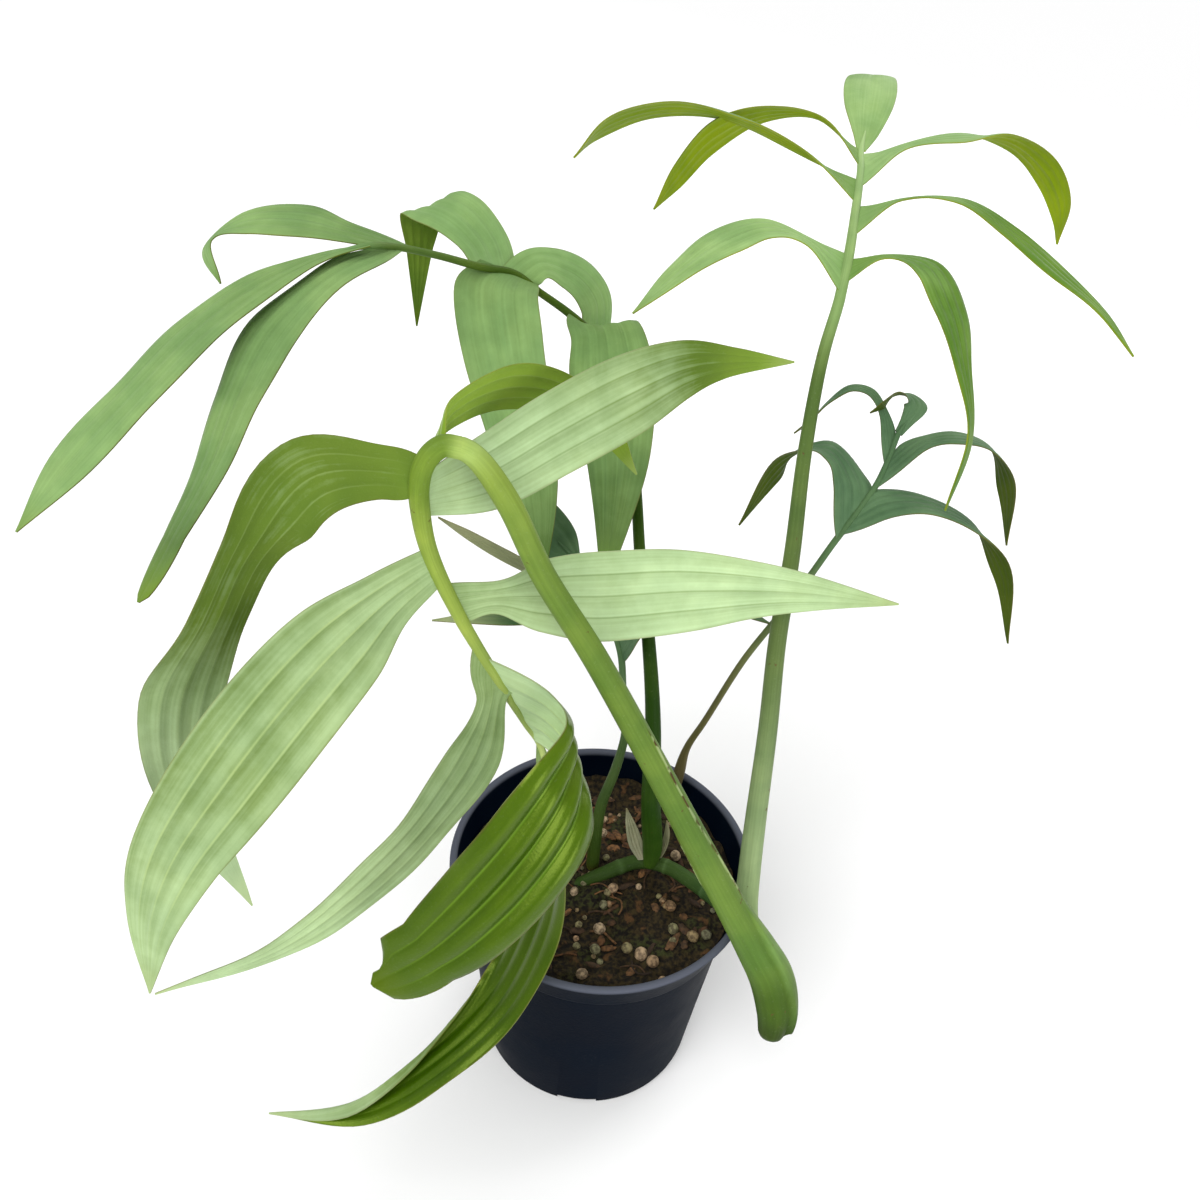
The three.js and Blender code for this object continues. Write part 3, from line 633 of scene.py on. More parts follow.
# %% Points of the creeping stem
CREEPER = {
    "points": [(-9, -3, 83), (0, -1, 88), (14, 5, 90), (24, 3, 91), (34, -5, 93), (42, -15, 97),
        (49, -24, 100.5), (55, -32, 99), (60, -42, 91), (63, -49, 82)],
    "radii": [2.2, 2.6, 2.7, 2.7, 2.8, 2.9, 3, 3, 2.8, 2],
}
print("points of the creeping stem:", len(CREEPER["points"]))

# %% Points of the front frond
FRONT_FROND = {
    "name": "front", "knee": 12,
    "line": [(62, -51, 76), (62, -48, 84), (59, -43, 95), (52, -39, 106), (43, -37, 122), (26, -34, 154),
        (9, -33, 188), (-9, -31, 222), (-24, -29, 247), (-34, -27, 268), (-42, -26, 279.5),
        (-46, -26, 282), (-50, -26.5, 282.5), (-53, -27.5, 280.5), (-55, -28.5, 277), (-56, -29, 272),
        (-56, -29, 265), (-54, -30, 253), (-46, -31, 232), (-36, -30, 210), (-27, -27, 189),
        (-23, -26, 180)],
    "radii": [4.6, 6.2, 7, 6.1, 5.2, 4.5, 4, 3.7, 3.4, 3.3, 3, 2.9, 2.9, 2.9, 2.8, 2.7, 2.6, 2.3, 1.9,
        1.5, 1.2, 1],
    "leaflets": {
        "left_1": {"foot": (0.08, 0.18), "nerves": 0.3, "puff": 0.015, "wide": [15, 22, 19, 19, 21, 16],
            "pale": [-0.1, 0, 0, 0.1, 0.45, 0.85, 1, 1],
            "spine": [(-66, -28, 274), (-82, -32, 273), (-97, -41, 257), (-107, -46, 237),
              (-118, -52, 212), (-119, -58, 184), (-104, -64, 141)],
            "face": [(-1, 5, -8), (-1, 6, -7), (-6, 7, 1), (-7, 6, 1), (-4, 9, -1), (-6, 8, -1)]},
        "right_1": {"foot": (0.13, 0.23), "nerves": -0.7, "wide": [20, 22, 22, 16, 9],
            "pale": [0.66, 0.62, 0.48, 0.3, -0.1, -0.6],
            "spine": [(-41, -15, 268), (-24, -2, 274), (-6, 11, 280), (10, 24, 283), (23, 32, 282),
              (42, 39, 280)],
            "face": [(-5, 8, -4), (-4, 8, -5), (-5, 7, -5), (-5, 8, -3), (-4, 9, -1)]},
        "left_2": {"foot": (0.31, 0.41), "wide": [18, 26, 29, 29, 24, 16],
            "pale": [0.46, 0.5, 0.4, 0.38, 0.46, 0.55, 0.58],
            "spine": [(-64, -39, 242), (-74, -49, 235), (-86, -60, 223), (-102, -69, 201),
              (-119, -74, 172), (-127, -79, 149), (-130, -85, 124)],
            "face": [(-5, 8, -3), (-3, 8, -4), (-1, 9, -4), (0, 10, -3), (1, 10, -2), (3, 9, -3)]},
        "right_2": {"foot": (0.41, 0.53), "nerves": -0.8, "wide": [10, 20, 26, 24, 14],
            "pale": [0.36, 0.56, 0.66, 0.7, 0.66, 0.5],
            "spine": [(-37, -25, 235), (-26, -17, 230), (-9, -11, 227), (17, -6, 228), (47, -1, 227),
              (80, 2, 223)],
            "face": [(-5, 8, -2), (-4, 7, -5), (-3, 8, -5), (-2, 9, -4), (-2, 10, -2)]},
        "left_3": {"foot": (0.59, 0.8), "nerves": 0.45, "puff": 0.01, "wide": [9, 18, 19, 16, 10],
            "pale": [0.3, 0.45, 0.55, 0.65, 0.7, 0.75],
            "spine": [(-37, -32, 203), (-42, -38, 185), (-56, -49, 164), (-75, -60, 144), (-96, -69, 128),
              (-133, -78, 112)],
            "face": [(-4, 9, -2), (-4, 9, -1), (-5, 8, 0), (-4, 9, 0), (-3, 9, 1)]},
        "cap_lobe": {"foot": (0.03, 0.1), "nerves": 0.4, "puff": 0.02, "wide": [10, 14, 13, 10],
            "pale": [-0.9, -0.8, -0.7, -0.5],
            "spine": [(-51, -14, 284), (-39, 5, 283), (-26, 14, 278), (-13, 17, 269), (-1, 14, 253)],
            "face": [(-8, 5, 2), (-6, 8, 1), (-4, 9, 1), (0, 10, 1)]},
        "right_3": {"foot": (0.64, 0.97), "puff": 0.045, "nerves": 1.5, "round": 2.5, "tip": 2,
            "nicks": [(1, 0.965, 0.045, 0.8)], "wide": [26, 27, 29, 29, 28, 22],
            "pale": [0.8, 0.8, 0.5, 0.3, 0.2, 0, 0],
            "spine": [(-20, -31, 196), (-11, -44, 196), (-13, -58, 193), (-20, -67, 183), (-33, -75, 166),
              (-49, -80, 147), (-65, -82, 133)],
            "face": [(6, 8, 1), (9, 3, 2), (6, -6, 4), (2, -9, 4), (-1, -9, 4), (-2, -9, 3)]},
        "end_lobe": {"nerves": 0.4, "roll": (1, -0.25, 0.4, 0.95, 2.95),
            "wide": [2, 10, 18, 19, 18, 17, 13], "pale": [0.2, 0.1, 0, 0, 0.1, 0.5, 0.7],
            "spine": [(-23, -26, 180), (-19, -29, 160), (-17, -38, 141), (-20, -49, 122), (-30, -62, 99),
              (-48, -73, 80), (-73, -81, 61), (-104, -82, 52)],
            "face": [(-2, 10, 0), (-8, 6, 0), (-9, -3, 2), (-7, -6, 4), (-6, -5, 6), (-6, -3, 8),
              (-4, -3, 9)]},
    },
}
print("leaflets of the front frond:", len(FRONT_FROND["leaflets"]))

# %% Points of the right frond
RIGHT_FROND = {
    "name": "right", "knee": 10, "blades": {"nerves": 0.2, "puff": 0.02, "wave": 0.2},
    "line": [(51, -27, 101), (50, -24, 108), (50, -16, 120), (50, -9, 135), (50, 3, 166), (49, 13, 196),
        (50, 23, 221), (50, 37, 252), (52, 50, 277), (55, 58, 292), (57, 68, 301), (60, 88, 309),
        (62, 103, 315), (63, 115, 318)],
    "radii": [4.2, 4, 3.8, 3.6, 3.2, 2.9, 2.6, 2.2, 1.9, 1.7, 1.6, 1.4, 1.2, 1],
    "leaflets": {
        "left_1": {"foot": (0.02, 0.22), "wide": [8, 15, 17, 14], "pale": [0.5, 0.75, 0.75, 0.7, 0.6],
            "spine": [(45, 68, 305), (32, 70, 308), (19, 65, 305), (8, 55, 300), (-6, 41, 290)],
            "face": [(3, 0, 9), (0, 0, 10), (-3, -1, 10), (-5, -1, 9)]},
        "right_1": {"foot": (0.07, 0.2), "wide": [4, 14, 17, 15, 9], "pale": [0.3, 0.25, 0.1, 0, 0, 0],
            "spine": [(67, 66, 303), (80, 62, 303), (87, 51, 295), (91, 38, 284), (93, 21, 270),
              (86, 4, 256)],
            "face": [(-2, 1, 10), (3, -2, 9), (6, -4, 7), (8, -4, 5), (9, -4, 2)]},
        "right_2": {"foot": (0.34, 0.56), "wide": [4, 10, 16, 13, 8],
            "pale": [0.5, 0.45, 0.1, -0.1, -0.2, -0.3],
            "spine": [(73, 87, 313), (90, 83, 316), (104, 73, 312), (118, 60, 305), (130, 50, 298),
              (137, 38, 291)],
            "face": [(-2, 2, 9), (1, 2, 10), (3, 0, 9), (4, -1, 9), (5, -1, 9)]},
        "left_2": {"foot": (0.58, 0.74), "wide": [6, 13, 15, 11], "pale": [0.3, 0.3, 0.2, 0.2],
            "spine": [(42, 104, 320), (17, 104, 329), (-4, 97, 331), (-20, 87, 327), (-27, 76, 321)],
            "face": [(4, 5, 8), (1, 4, 9), (-3, 5, 8), (-6, 5, 6)]},
        "left_3": {"foot": (0.84, 0.99), "wide": [4, 12, 13, 9], "pale": [0.3, 0.4, 0.3, 0.2],
            "spine": [(49, 122, 325), (31, 119, 326), (14, 109, 320), (4, 97, 311), (-2, 86, 304)],
            "face": [(2, 5, 8), (-3, 6, 7), (-7, 7, 2), (-8, 6, 0)]},
        "right_3": {"foot": (0.68, 0.95), "wide": [6, 13, 15, 13, 9], "pale": [0.7, 0.7, 0.6, 0.3, 0.1],
            "spine": [(77, 117, 320), (95, 119, 324), (110, 115, 325), (121, 105, 319), (125, 94, 311),
              (123, 85, 304)],
            "face": [(-3, 1, 10), (-2, 1, 10), (3, 5, 8), (8, 5, 3), (10, 3, -1)]},
        "end_lobe": {"round": 1.6, "tip": 1, "nerves": 0, "puff": 0, "wide": [3, 9, 16, 18, 14],
            "pale": [0.5, 0.65, 0.65, 0.6],
            "spine": [(63, 115, 318), (65, 125, 321), (67, 139, 326), (69, 153, 329), (71, 165, 329),
              (72, 174, 324)],
            "face": [(1, -3, 9), (1, -3, 9), (0, -3, 10), (0, 0, 10), (0, 3, 9)]},
    },
}
print("leaflets of the right frond:", len(RIGHT_FROND["leaflets"]))

# %% Points of the back frond
BACK_FROND = {
    "name": "back", "knee": 9, "blades": {"nerves": 0.3, "puff": 0.02, "wave": 0.15},
    "line": [(18, 4, 91), (18, 3, 101), (15, 1, 128), (13, 13, 155), (9, 27, 179), (4, 43, 200),
        (0, 62, 220), (-6, 81, 240), (-12, 92, 250), (-20, 97, 256), (-28, 100, 261), (-38, 101, 267),
        (-46, 100, 273), (-57, 92, 278), (-69, 84, 284), (-80, 76, 289), (-87, 66, 293)],
    "radii": [2.6, 3.6, 3.4, 2.7, 2.3, 2, 1.9, 1.8, 1.7, 1.6, 1.4, 1.3, 1.3, 1.3, 1.2, 1.1, 1],
    "leaflets": {
        "near_1": {"foot": (0.03, 0.2), "wide": [24, 28, 22, 11], "pale": [0.2, 0.3, 0.3, 0.1, -0.5],
            "spine": [(-15, 90, 262), (-11, 75, 252), (-7, 56, 232), (-7, 40, 213), (-8, 27, 197)],
            "face": [(0, -3, 10), (-1, -6, 7), (-3, -7, 6), (-4, -7, 6)]},
        "far_1": {"foot": (0.34, 0.48), "wide": [12, 14, 15, 15, 12], "pale": [0.5, 0.6, 0.5],
            "spine": [(-38, 107, 275), (-30, 111, 272), (-23, 113, 267), (-18, 114, 259), (-17, 113, 250),
              (-15, 107, 236)],
            "face": [(1, -6, 8), (2, -6, 8), (4, -6, 7), (6, -6, 5), (6, -6, 4)]},
        "near_2": {"foot": (0.33, 0.57), "wide": [28, 27, 23, 17], "pale": [0.3, 0.5, 0.45, 0.3, -0.4],
            "spine": [(-51, 88, 273), (-47, 71, 260), (-39, 52, 242), (-33, 37, 226), (-27, 18, 205)],
            "face": [(0, -5, 9), (-2, -7, 7), (-3, -7, 6), (-3, -7, 6)]},
        "far_2": {"foot": (0.42, 0.6), "wide": [18, 20, 20, 17, 10], "pale": [0.5, 0.6, 0.6, 0.4],
            "spine": [(-57, 106, 281), (-66, 113, 287), (-76, 121, 287), (-82, 127, 281), (-83, 126, 269),
              (-83, 116, 243)],
            "face": [(2, -4, 9), (0, -4, 9), (-3, -1, 9), (-4, 7, 5), (-4, 9, -2)]},
        "low_3": {"foot": (0.84, 0.94), "round": 2, "tip": 1, "wide": [14, 20, 21, 17, 12],
            "pale": [0.5, 0.5, 0.45, 0.35, -0.5],
            "spine": [(-96, 52, 289), (-110, 35, 279), (-117, 17, 266), (-121, -1, 253), (-127, -18, 241),
              (-133, -33, 229)],
            "face": [(-2, -2, 10), (-3, -4, 9), (-5, -4, 7), (-6, -4, 7), (-6, -3, 7)]},
        "far_3": {"foot": (0.8, 0.92), "wide": [12, 17, 16, 9], "pale": [0.3, 0.4, 0.6, 0.5],
            "spine": [(-93, 73, 294), (-110, 76, 296), (-128, 75, 294), (-138, 68, 288), (-131, 57, 281)],
            "face": [(0, -1, 10), (0, -2, 10), (-2, -1, 10), (-8, -1, 6)]},
        "end_lobe": {"wide": [3, 9, 17, 21, 21, 16], "pale": [0.4, 0.5, 0.6, 0.6],
            "spine": [(-87, 66, 293), (-99, 59, 292), (-116, 48, 287), (-131, 32, 279), (-145, 12, 267),
              (-159, -6, 253), (-168, -22, 241)],
            "face": [(-3, 1, 9), (-3, 0, 9), (-3, -2, 9), (-4, -3, 9), (-4, -3, 9), (-3, -4, 9)]},
    },
}
print("leaflets of the back frond:", len(BACK_FROND["leaflets"]))

# %% Points of the low frond
LOW_FROND = {
    "name": "low", "knee": 8, "leaf": "small", "blades": {"nerves": 0.2, "puff": 0.02, "wave": 0.1},
    "line": [(25, 35, 82), (27.5, 39, 103), (29, 39, 117), (34, 39, 132), (45, 46, 157), (54, 51, 172),
        (63, 56, 187), (71, 61, 202), (75, 64, 208), (80, 69, 214), (84, 74, 219), (88, 82, 225),
        (91, 89, 231)],
    "radii": [1.9, 2.2, 1.4, 1.2, 1.2, 1.2, 1.2, 1.2, 1.2, 1.1, 1.1, 1, 1],
    "leaflets": {
        "left_1": {"foot": (0.02, 0.42), "wide": [17, 13, 13, 11],
            "spine": [(75, 72, 220), (67, 79, 228), (56, 76, 229), (47, 69, 224), (36, 52, 212)],
            "face": [(3, -2, 9), (1, -1, 10), (-3, 5, 8), (-3, 9, 2)]},
        "right_1": {"foot": (0.06, 0.32), "wide": [13, 14, 13, 9],
            "spine": [(86, 67, 216), (101, 68, 217), (118, 63, 212), (128, 51, 202), (130, 33, 186)],
            "face": [(-1, -3, 9), (1, 1, 10), (5, 2, 8), (7, 6, 1)]},
        "right_2": {"foot": (0.5, 0.82), "wide": [9, 10, 12, 11],
            "spine": [(99, 86, 230), (111, 87, 233), (123, 84, 231), (129, 74, 222), (129, 59, 208)],
            "face": [(-2, 0, 9), (0, 1, 10), (6, 2, 8), (9, 4, 1)]},
        "left_2": {"foot": (0.7, 0.92), "wide": [4, 4, 6, 8, 7],
            "spine": [(86, 94, 235), (81, 101, 240), (74, 103, 240), (67, 101, 235), (61, 96, 230),
              (55, 90, 227)],
            "face": [(2, -4, 9), (1, -3, 9), (-1, 1, 10), (-4, 5, 8), (-5, 6, 5)]},
        "end_lobe": {"wide": [3, 5, 9, 9, 7, 5],
            "spine": [(91, 89, 231), (94, 93, 234), (97, 97, 238), (95, 100, 240), (89, 99, 241),
              (85, 95, 239), (80, 91, 237)],
            "face": [(3, -5, 8), (3, -5, 8), (2, -4, 9), (-1, 2, 10), (-3, 6, 7), (-4, 8, 3)]},
    },
}
print("leaflets of the low frond:", len(LOW_FROND["leaflets"]))

# %% Points of the young frond
YOUNG_FROND = {
    "name": "young", "knee": 6, "leaf": "small", "blades": {"nerves": 0.3, "puff": 0.02, "wave": 0.1},
    "line": [(-3, 5, 80), (-3, 4, 96), (-2, 6, 118), (2, 10, 134), (4, 14, 148), (2, 20, 162),
        (0, 25, 174), (-4, 29, 183), (-10, 34, 192), (-17, 39, 200)],
    "radii": [2.4, 2.3, 2, 1.7, 1.4, 1.2, 1.2, 1.1, 1, 0.9],
    "leaflets": {
        "right_1": {"foot": (0.2, 0.45), "wide": [11, 12, 9],
            "spine": [(7, 22, 194), (19, 21, 202), (33, 19, 204), (46, 16, 200)],
            "face": [(-3, -2, 9), (0, 0, 10), (2, 0, 9)]},
        "left_1": {"foot": (0.4, 0.6), "wide": [10, 9], "pale": [0.4, 0.1, -1],
            "spine": [(-21, 27, 188), (-41, 22, 189), (-63, 20, 186)],
            "face": [(0, -1, 10), (-1, 0, 10)]},
        "left_2": {"foot": (0.7, 0.9), "wide": [9, 9, 6], "pale": [0.4, -0.7, -1, -1],
            "spine": [(-28, 35, 198), (-41, 37, 203), (-54, 40, 208), (-64, 42, 212)],
            "face": [(3, 9, 4), (2, 9, 4), (2, 9, 4)]},
        "end_lobe": {"wide": [3, 15, 18, 14],
            "spine": [(-17, 39, 200), (-24, 45, 204), (-33, 53, 207), (-40, 61, 208), (-48, 70, 204)],
            "face": [(1, -4, 9), (0, -4, 9), (-2, -4, 9), (-4, -1, 9)]},
    },
}
print("leaflets of the young frond:", len(YOUNG_FROND["leaflets"]))
# %% [markdown]
# ## Tubes
# A stalk could be a Blender curve with a bevel, whose points carry radii. A tube made ring by ring does
# the same, and lets each ring swell on one side, as a stalk does where its sheath wraps round it. The
# rings keep their twist from one to the next, and round caps close both ends.

# %% Tube along a line
TUBE_SIDES = 28
RINGS_A_STEP = 8
CAP_STEPS = 3
CAP_CENTRE = 0.05
CAP_LENGTH = 0.6


def ring_places(rings):
    """Each ring's share of the tube, and how far a cap has opened there."""
    caps = [math.sin(step / CAP_STEPS * math.pi / 2) for step in range(1, CAP_STEPS)]
    return [*((0.0, cap) for cap in [CAP_CENTRE, *caps]),
            *((ring / rings, 1.0) for ring in range(rings + 1)),
            *((1.0, cap) for cap in [*reversed(caps), CAP_CENTRE])]


def add_tube(collector, points, radii, rings, swell=None, end=1.0, sides=TUBE_SIDES, **marks):
    """swell gives the raise of the skin and its shade for a share of the tube and an angle."""
    line = points if isinstance(points, SmoothLine) else SmoothLine(points)
    angles = np.linspace(0, 2 * math.pi, sides, endpoint=False)
    sideways = np.array([1.0, 0.0, 0.0])
    skin, shades = [], []
    places = ring_places(rings)
    for part, cap in places:
        share = end * part
        forward = line.tangent(share)
        sideways = unit(sideways - forward * (sideways @ forward))
        radius = smooth_value(radii, share)
        bulge = math.sqrt(1 - cap * cap) * radius * CAP_LENGTH
        middle = line.at(share) + forward * (bulge if part > 0.5 else -bulge)
        reach, shade = np.full(sides, radius * cap), np.zeros(sides)
        if swell:
            raised, shade = np.array([swell(part, angle) for angle in angles]).T
            reach = reach + cap * raised
        ring = middle + np.outer(reach * np.cos(angles), sideways)
        skin.append(ring + np.outer(reach * np.sin(angles), np.cross(forward, sideways)))
        shades.append(shade)
    faces = []
    for ring in range(len(places) - 1):
        for side in range(sides):
            a, b = ring * sides + side, ring * sides + (side + 1) % sides
            faces.append((a, b, b + sides, a + sides))
    last = (len(places) - 1) * sides
    faces += [tuple(reversed(range(sides))), tuple(range(last, last + sides))]
    collector.add(np.concatenate(skin), faces, along=np.repeat([part for part, _ in places], sides),
                  across=np.tile(angles / (2 * math.pi), len(places)), pale=np.concatenate(shades), **marks)


print("a tube has", TUBE_SIDES, "sides")

# %% [markdown]
# ## Leaflets
# A leaflet is a thin sheet. A subdivided plane with a Solidify modifier is the quick way, but it knows
# nothing of nerves. This grid is laid row by row across the spine. It starts as a web on the rachis,
# sinks at its three nerves, puffs up between them and waves at its margins. Two layers make both faces.

# %% Places across a leaflet
RIB_SINK = 0.05
MARGIN_DROP = 0.07
BOW_START = 4
NERVE_DEPTH = 0.36
NERVE_SPREAD = 0.055
NERVE_STEPS = (-0.09, -0.045, 0.0, 0.045, 0.09)
EVEN_COLUMNS = 25
LEAST_GAP = 0.03
PUFF = 0.022
WAVE_HEIGHT = 0.3
WAVE_LENGTH = 34.0
WAVE_SHIFT = 2.1
FOLD_WIDTH = 0.35


def leaflet_columns():
    """Places from margin to margin, even but for the closer ones at the nerves."""
    nerves = (-NERVE_SIDE, 0.0, NERVE_SIDE)
    places = {round(nerve + step, 3) for nerve in nerves for step in NERVE_STEPS}
    for place in np.linspace(-1, 1, EVEN_COLUMNS):
        if min(abs(place - other) for other in places) > LEAST_GAP:
            places.add(round(float(place), 3))
    return np.array(sorted(places))


COLUMNS = leaflet_columns()
FROM_RIB = np.abs(COLUMNS)
FROM_NERVE = np.minimum(FROM_RIB, np.abs(FROM_RIB - NERVE_SIDE))
BAY = np.where(FROM_RIB < NERVE_SIDE, FROM_RIB / NERVE_SIDE, (FROM_RIB - NERVE_SIDE) / (1 - NERVE_SIDE))
print("columns across a leaflet:", len(COLUMNS))

# %% Width and height of a cross-section
def width_along(widths, share, roundness):
    """The width follows its values smoothly. A round tip swings in late, as on a paddle."""
    place = share * (len(widths) - 1) - (len(widths) - 2)
    if roundness and place > 0:
        return widths[-2] * (1 - place ** roundness) ** (1 / roundness) + widths[-1] * place
    return smooth_value(widths, share)


def lift_across(leaflet, width, share, fade, wave_phase):
    """How far the sheet rises from a flat one: its bow, its nerves, its bays and its waves."""
    bow = (-RIB_SINK * (1 - FROM_RIB) - MARGIN_DROP * COLUMNS ** 2) * width * min(share * BOW_START, 1)
    sunk = -NERVE_DEPTH * np.exp(-(FROM_NERVE / NERVE_SPREAD) ** 2) * abs(leaflet.get("nerves", 1) * fade)
    puffed = leaflet.get("puff", PUFF) * width * np.sin(np.pi * BAY) ** 2 * fade
    phase = wave_phase + WAVE_SHIFT * np.sign(COLUMNS)
    waved = leaflet.get("wave", WAVE_HEIGHT) * COLUMNS ** 2 * np.sin(phase) * fade
    return bow + sunk + puffed + waved


def rolled_section(edge, side, fold_at, amount):
    """One side of a cross-section folds up and over. Gives places sideways and up, and turns."""
    turns = side * amount * np.clip((COLUMNS * side - fold_at) / FOLD_WIDTH, 0, 1)
    between = (turns[1:] + turns[:-1]) / 2
    along = np.concatenate([[0], np.cumsum(np.diff(edge) * np.cos(between))])
    raised = np.concatenate([[0], np.cumsum(np.diff(edge) * np.sin(between))])
    fixed = 0 if side > 0 else -1
    return along - along[fixed] + edge[fixed], raised - raised[fixed], turns


middle_lift = lift_across({}, 20.0, 0.5, 1.0, 0.0)
print("lift across a blade 20 mm wide:", round(min(middle_lift), 2), "to", round(max(middle_lift), 2), "mm")

# %% Frame and faces of a leaflet
ROWS_A_STEP = 9
BLUNT_TIP = 0.5


def leaflet_frame(leaflet, rachis_at):
    """The spine, the lines across it and the widths, all with the web at the rachis put first."""
    spine = [np.array(point, float) for point in leaflet["spine"]]
    faces = [unit(np.array(face, float)) for face in leaflet["face"]]
    faces.append(faces[-1])
    widths = [*leaflet["wide"], leaflet.get("tip", BLUNT_TIP)]
    foot = None
    if "foot" in leaflet:
        first, last = leaflet["foot"]
        foot = rachis_at(last) - rachis_at(first)
        spine.insert(0, rachis_at((first + last) / 2))
        faces.insert(0, faces[0])
        widths.insert(0, np.linalg.norm(foot))
    line = SmoothLine(spine)
    steps = len(spine) - 1
    sideways = [unit(np.cross(line.tangent(index / steps), face)) for index, face in enumerate(faces)]
    if foot is not None:
        sideways[0] = unit(foot) * (1 if foot @ sideways[1] > 0 else -1)
    return line, SmoothLine(sideways, even=True), widths, steps * ROWS_A_STEP


def sheet_faces(rows, columns):
    """Faces of the upper layer, and those of the lower layer with the border between the two."""
    layer = (rows + 1) * columns
    upper, under, border = [], [], []
    for row in range(rows):
        for a in range(row * columns, row * columns + columns - 1):
            b, c, d = a + 1, a + 1 + columns, a + columns
            upper.append((a, b, c, d))
            under.append((d + layer, c + layer, b + layer, a + layer))
        left, right = row * columns, row * columns + columns - 1
        border.append((left, left + columns, left + columns + layer, left + layer))
        border.append((right, right + layer, right + columns + layer, right + columns))
    for a, b in zip(range(columns - 1), range(rows * columns, layer - 1)):
        border.append((a, a + layer, a + 1 + layer, a + 1))
        border.append((b, b + 1, b + 1 + layer, b + layer))
    return upper, under + border


print("faces between two rows:", len(sheet_faces(1, len(COLUMNS))[0]), "on the upper layer")

# %% Lay one leaflet
BLADE_THICKNESS = 0.6
MARGIN_THINNING = 0.45
FADE_FOOT = 0.12
FADE_TIP = 0.35
WAVE_SPREAD = 40.0


def add_leaflet(collector, leaflet, rachis_at=None, tone=0.5, slots=(0, 1)):
    line, cross_line, widths, rows = leaflet_frame(leaflet, rachis_at)
    _, run, length = running_lengths(line, rows)
    layers, creases = ([], []), []
    for row, way in enumerate(run):
        share = row / rows
        middle, across = line.at(share), unit(cross_line.at(share))
        up = unit(np.cross(across, line.tangent(share)))
        width = width_along(widths, share, leaflet.get("round"))
        edge = COLUMNS * width / 2
        for side, place, reach, depth in leaflet.get("nicks", ()):
            bite = max(0.0, 1 - abs(way - place) / reach) ** 0.5 * depth
            edge = np.where(COLUMNS * side > 0, edge * (1 - bite * FROM_RIB), edge)
        fade = min(way / FADE_FOOT, (1 - way) / FADE_TIP, 1)
        creases.append(leaflet.get("nerves", 1) * fade)
        wave_phase = 2 * math.pi * way * length / WAVE_LENGTH + tone * WAVE_SPREAD
        lift = lift_across(leaflet, width, share, fade, wave_phase)
        side, fold_at, begin, end, most = leaflet.get("roll", (1, 0, 1, 2, 0))
        growth = min(max((way - begin) / (end - begin), 0), 1)
        edge, raised, turns = rolled_section(edge, side, 1 - growth * (1 - fold_at), most)
        upward = np.outer(np.cos(turns), up) - np.outer(np.sin(turns), across)
        sheet = middle + np.outer(edge, across) + np.outer(raised, up) + lift[:, None] * upward
        half = BLADE_THICKNESS / 2 * (1 - MARGIN_THINNING * COLUMNS ** 6)
        layers[0].append(sheet + half[:, None] * upward)
        layers[1].append(sheet - half[:, None] * upward)
    columns = len(COLUMNS)
    upper, others = sheet_faces(rows, columns)
    pale = [smooth_value(leaflet.get("pale", (0.5, 0.5)), way) for way in run]
    marks = {name: np.tile(np.repeat(values, columns), 2)
             for name, values in (("along", run), ("pale", pale), ("crease", creases))}
    collector.add(np.concatenate([*layers[0], *layers[1]]), upper + others,
                  [slots[0]] * len(upper) + [slots[1]] * len(others),
                  across=np.tile(COLUMNS, 2 * (rows + 1)), tone=tone, **marks)


print("rows between two points of a spine:", ROWS_A_STEP, "and thickness:", BLADE_THICKNESS, "mm")

# %% [markdown]
# ## Fronds
# A frond is a petiole and a leaf. The leaf is one living piece, rachis and leaflets grown together, so
# it becomes one object with three materials: upper face, underside and rachis. The petiole is a piece of
# its own, as in the solids.

# %% Grow a leaf and its petiole
RACHIS_TIP = 0.3


def frond_lines(frond):
    """The line of a frond, the share of it that is petiole, and points of its rachis by length."""
    line = SmoothLine(frond["line"])
    knee = (frond["knee"] - 1) / (len(frond["line"]) - 1)
    shares, lengths, _ = running_lengths(line)
    knee_length = np.interp(knee, shares, lengths)

    def rachis_at(share):
        return line.at(np.interp(knee_length + (1 - knee_length) * share, lengths, shares))

    return line, knee, rachis_at


def grow_leaf(frond):
    rachis_at = frond_lines(frond)[2]
    collector = Collector()
    above = slice(frond["knee"] - 1, None)
    rachis = [*frond["line"][above], frond["leaflets"]["end_lobe"]["spine"][1]]
    radii = [*frond["radii"][above], RACHIS_TIP]
    add_tube(collector, rachis, radii, (len(radii) - 1) * RINGS_A_STEP, slot=2)
    for leaflet in frond["leaflets"].values():
        add_leaflet(collector, {**frond.get("blades", {}), **leaflet}, rachis_at, random.random())
    look = frond.get("leaf", frond["name"])
    materials = [LEAF_MATERIALS[look + " leaf upper"], LEAF_MATERIALS[look + " leaf under"],
                 STALK_MATERIALS[look + " rachis"]]
    node = frond["name"] + "_frond_blade"
    finish_piece(collector.build(node + "_leaf", materials), [node])


def grow_petiole(frond, swell=None, sheaths=(), sides=TUBE_SIDES):
    line, knee, _ = frond_lines(frond)
    collector = Collector()
    rings = (frond["knee"] - 1) * RINGS_A_STEP
    add_tube(collector, line, frond["radii"], rings, swell, knee, sides)
    for sheath in sheaths:
        add_leaflet(collector, sheath, slots=(1, 1))
    materials = [STALK_MATERIALS[frond["name"]], LEAF_MATERIALS["dry sheath"]]
    node = frond["name"] + "_frond_petiole"
    finish_piece(collector.build(node + "_stalk", materials), [node])


print("rings between two points of a stalk:", RINGS_A_STEP)

# %% [markdown]
# ## Sheaths of the petioles
# The front petiole keeps the wing of its sheath: a sharp step near its heel, which runs out higher up
# into thin dry margins. A second mesh could be laid on the stalk, but it would leave a gap. Here the skin
# of the tube itself is raised. Beside the back petiole two papery leftovers stand as small leaflets.

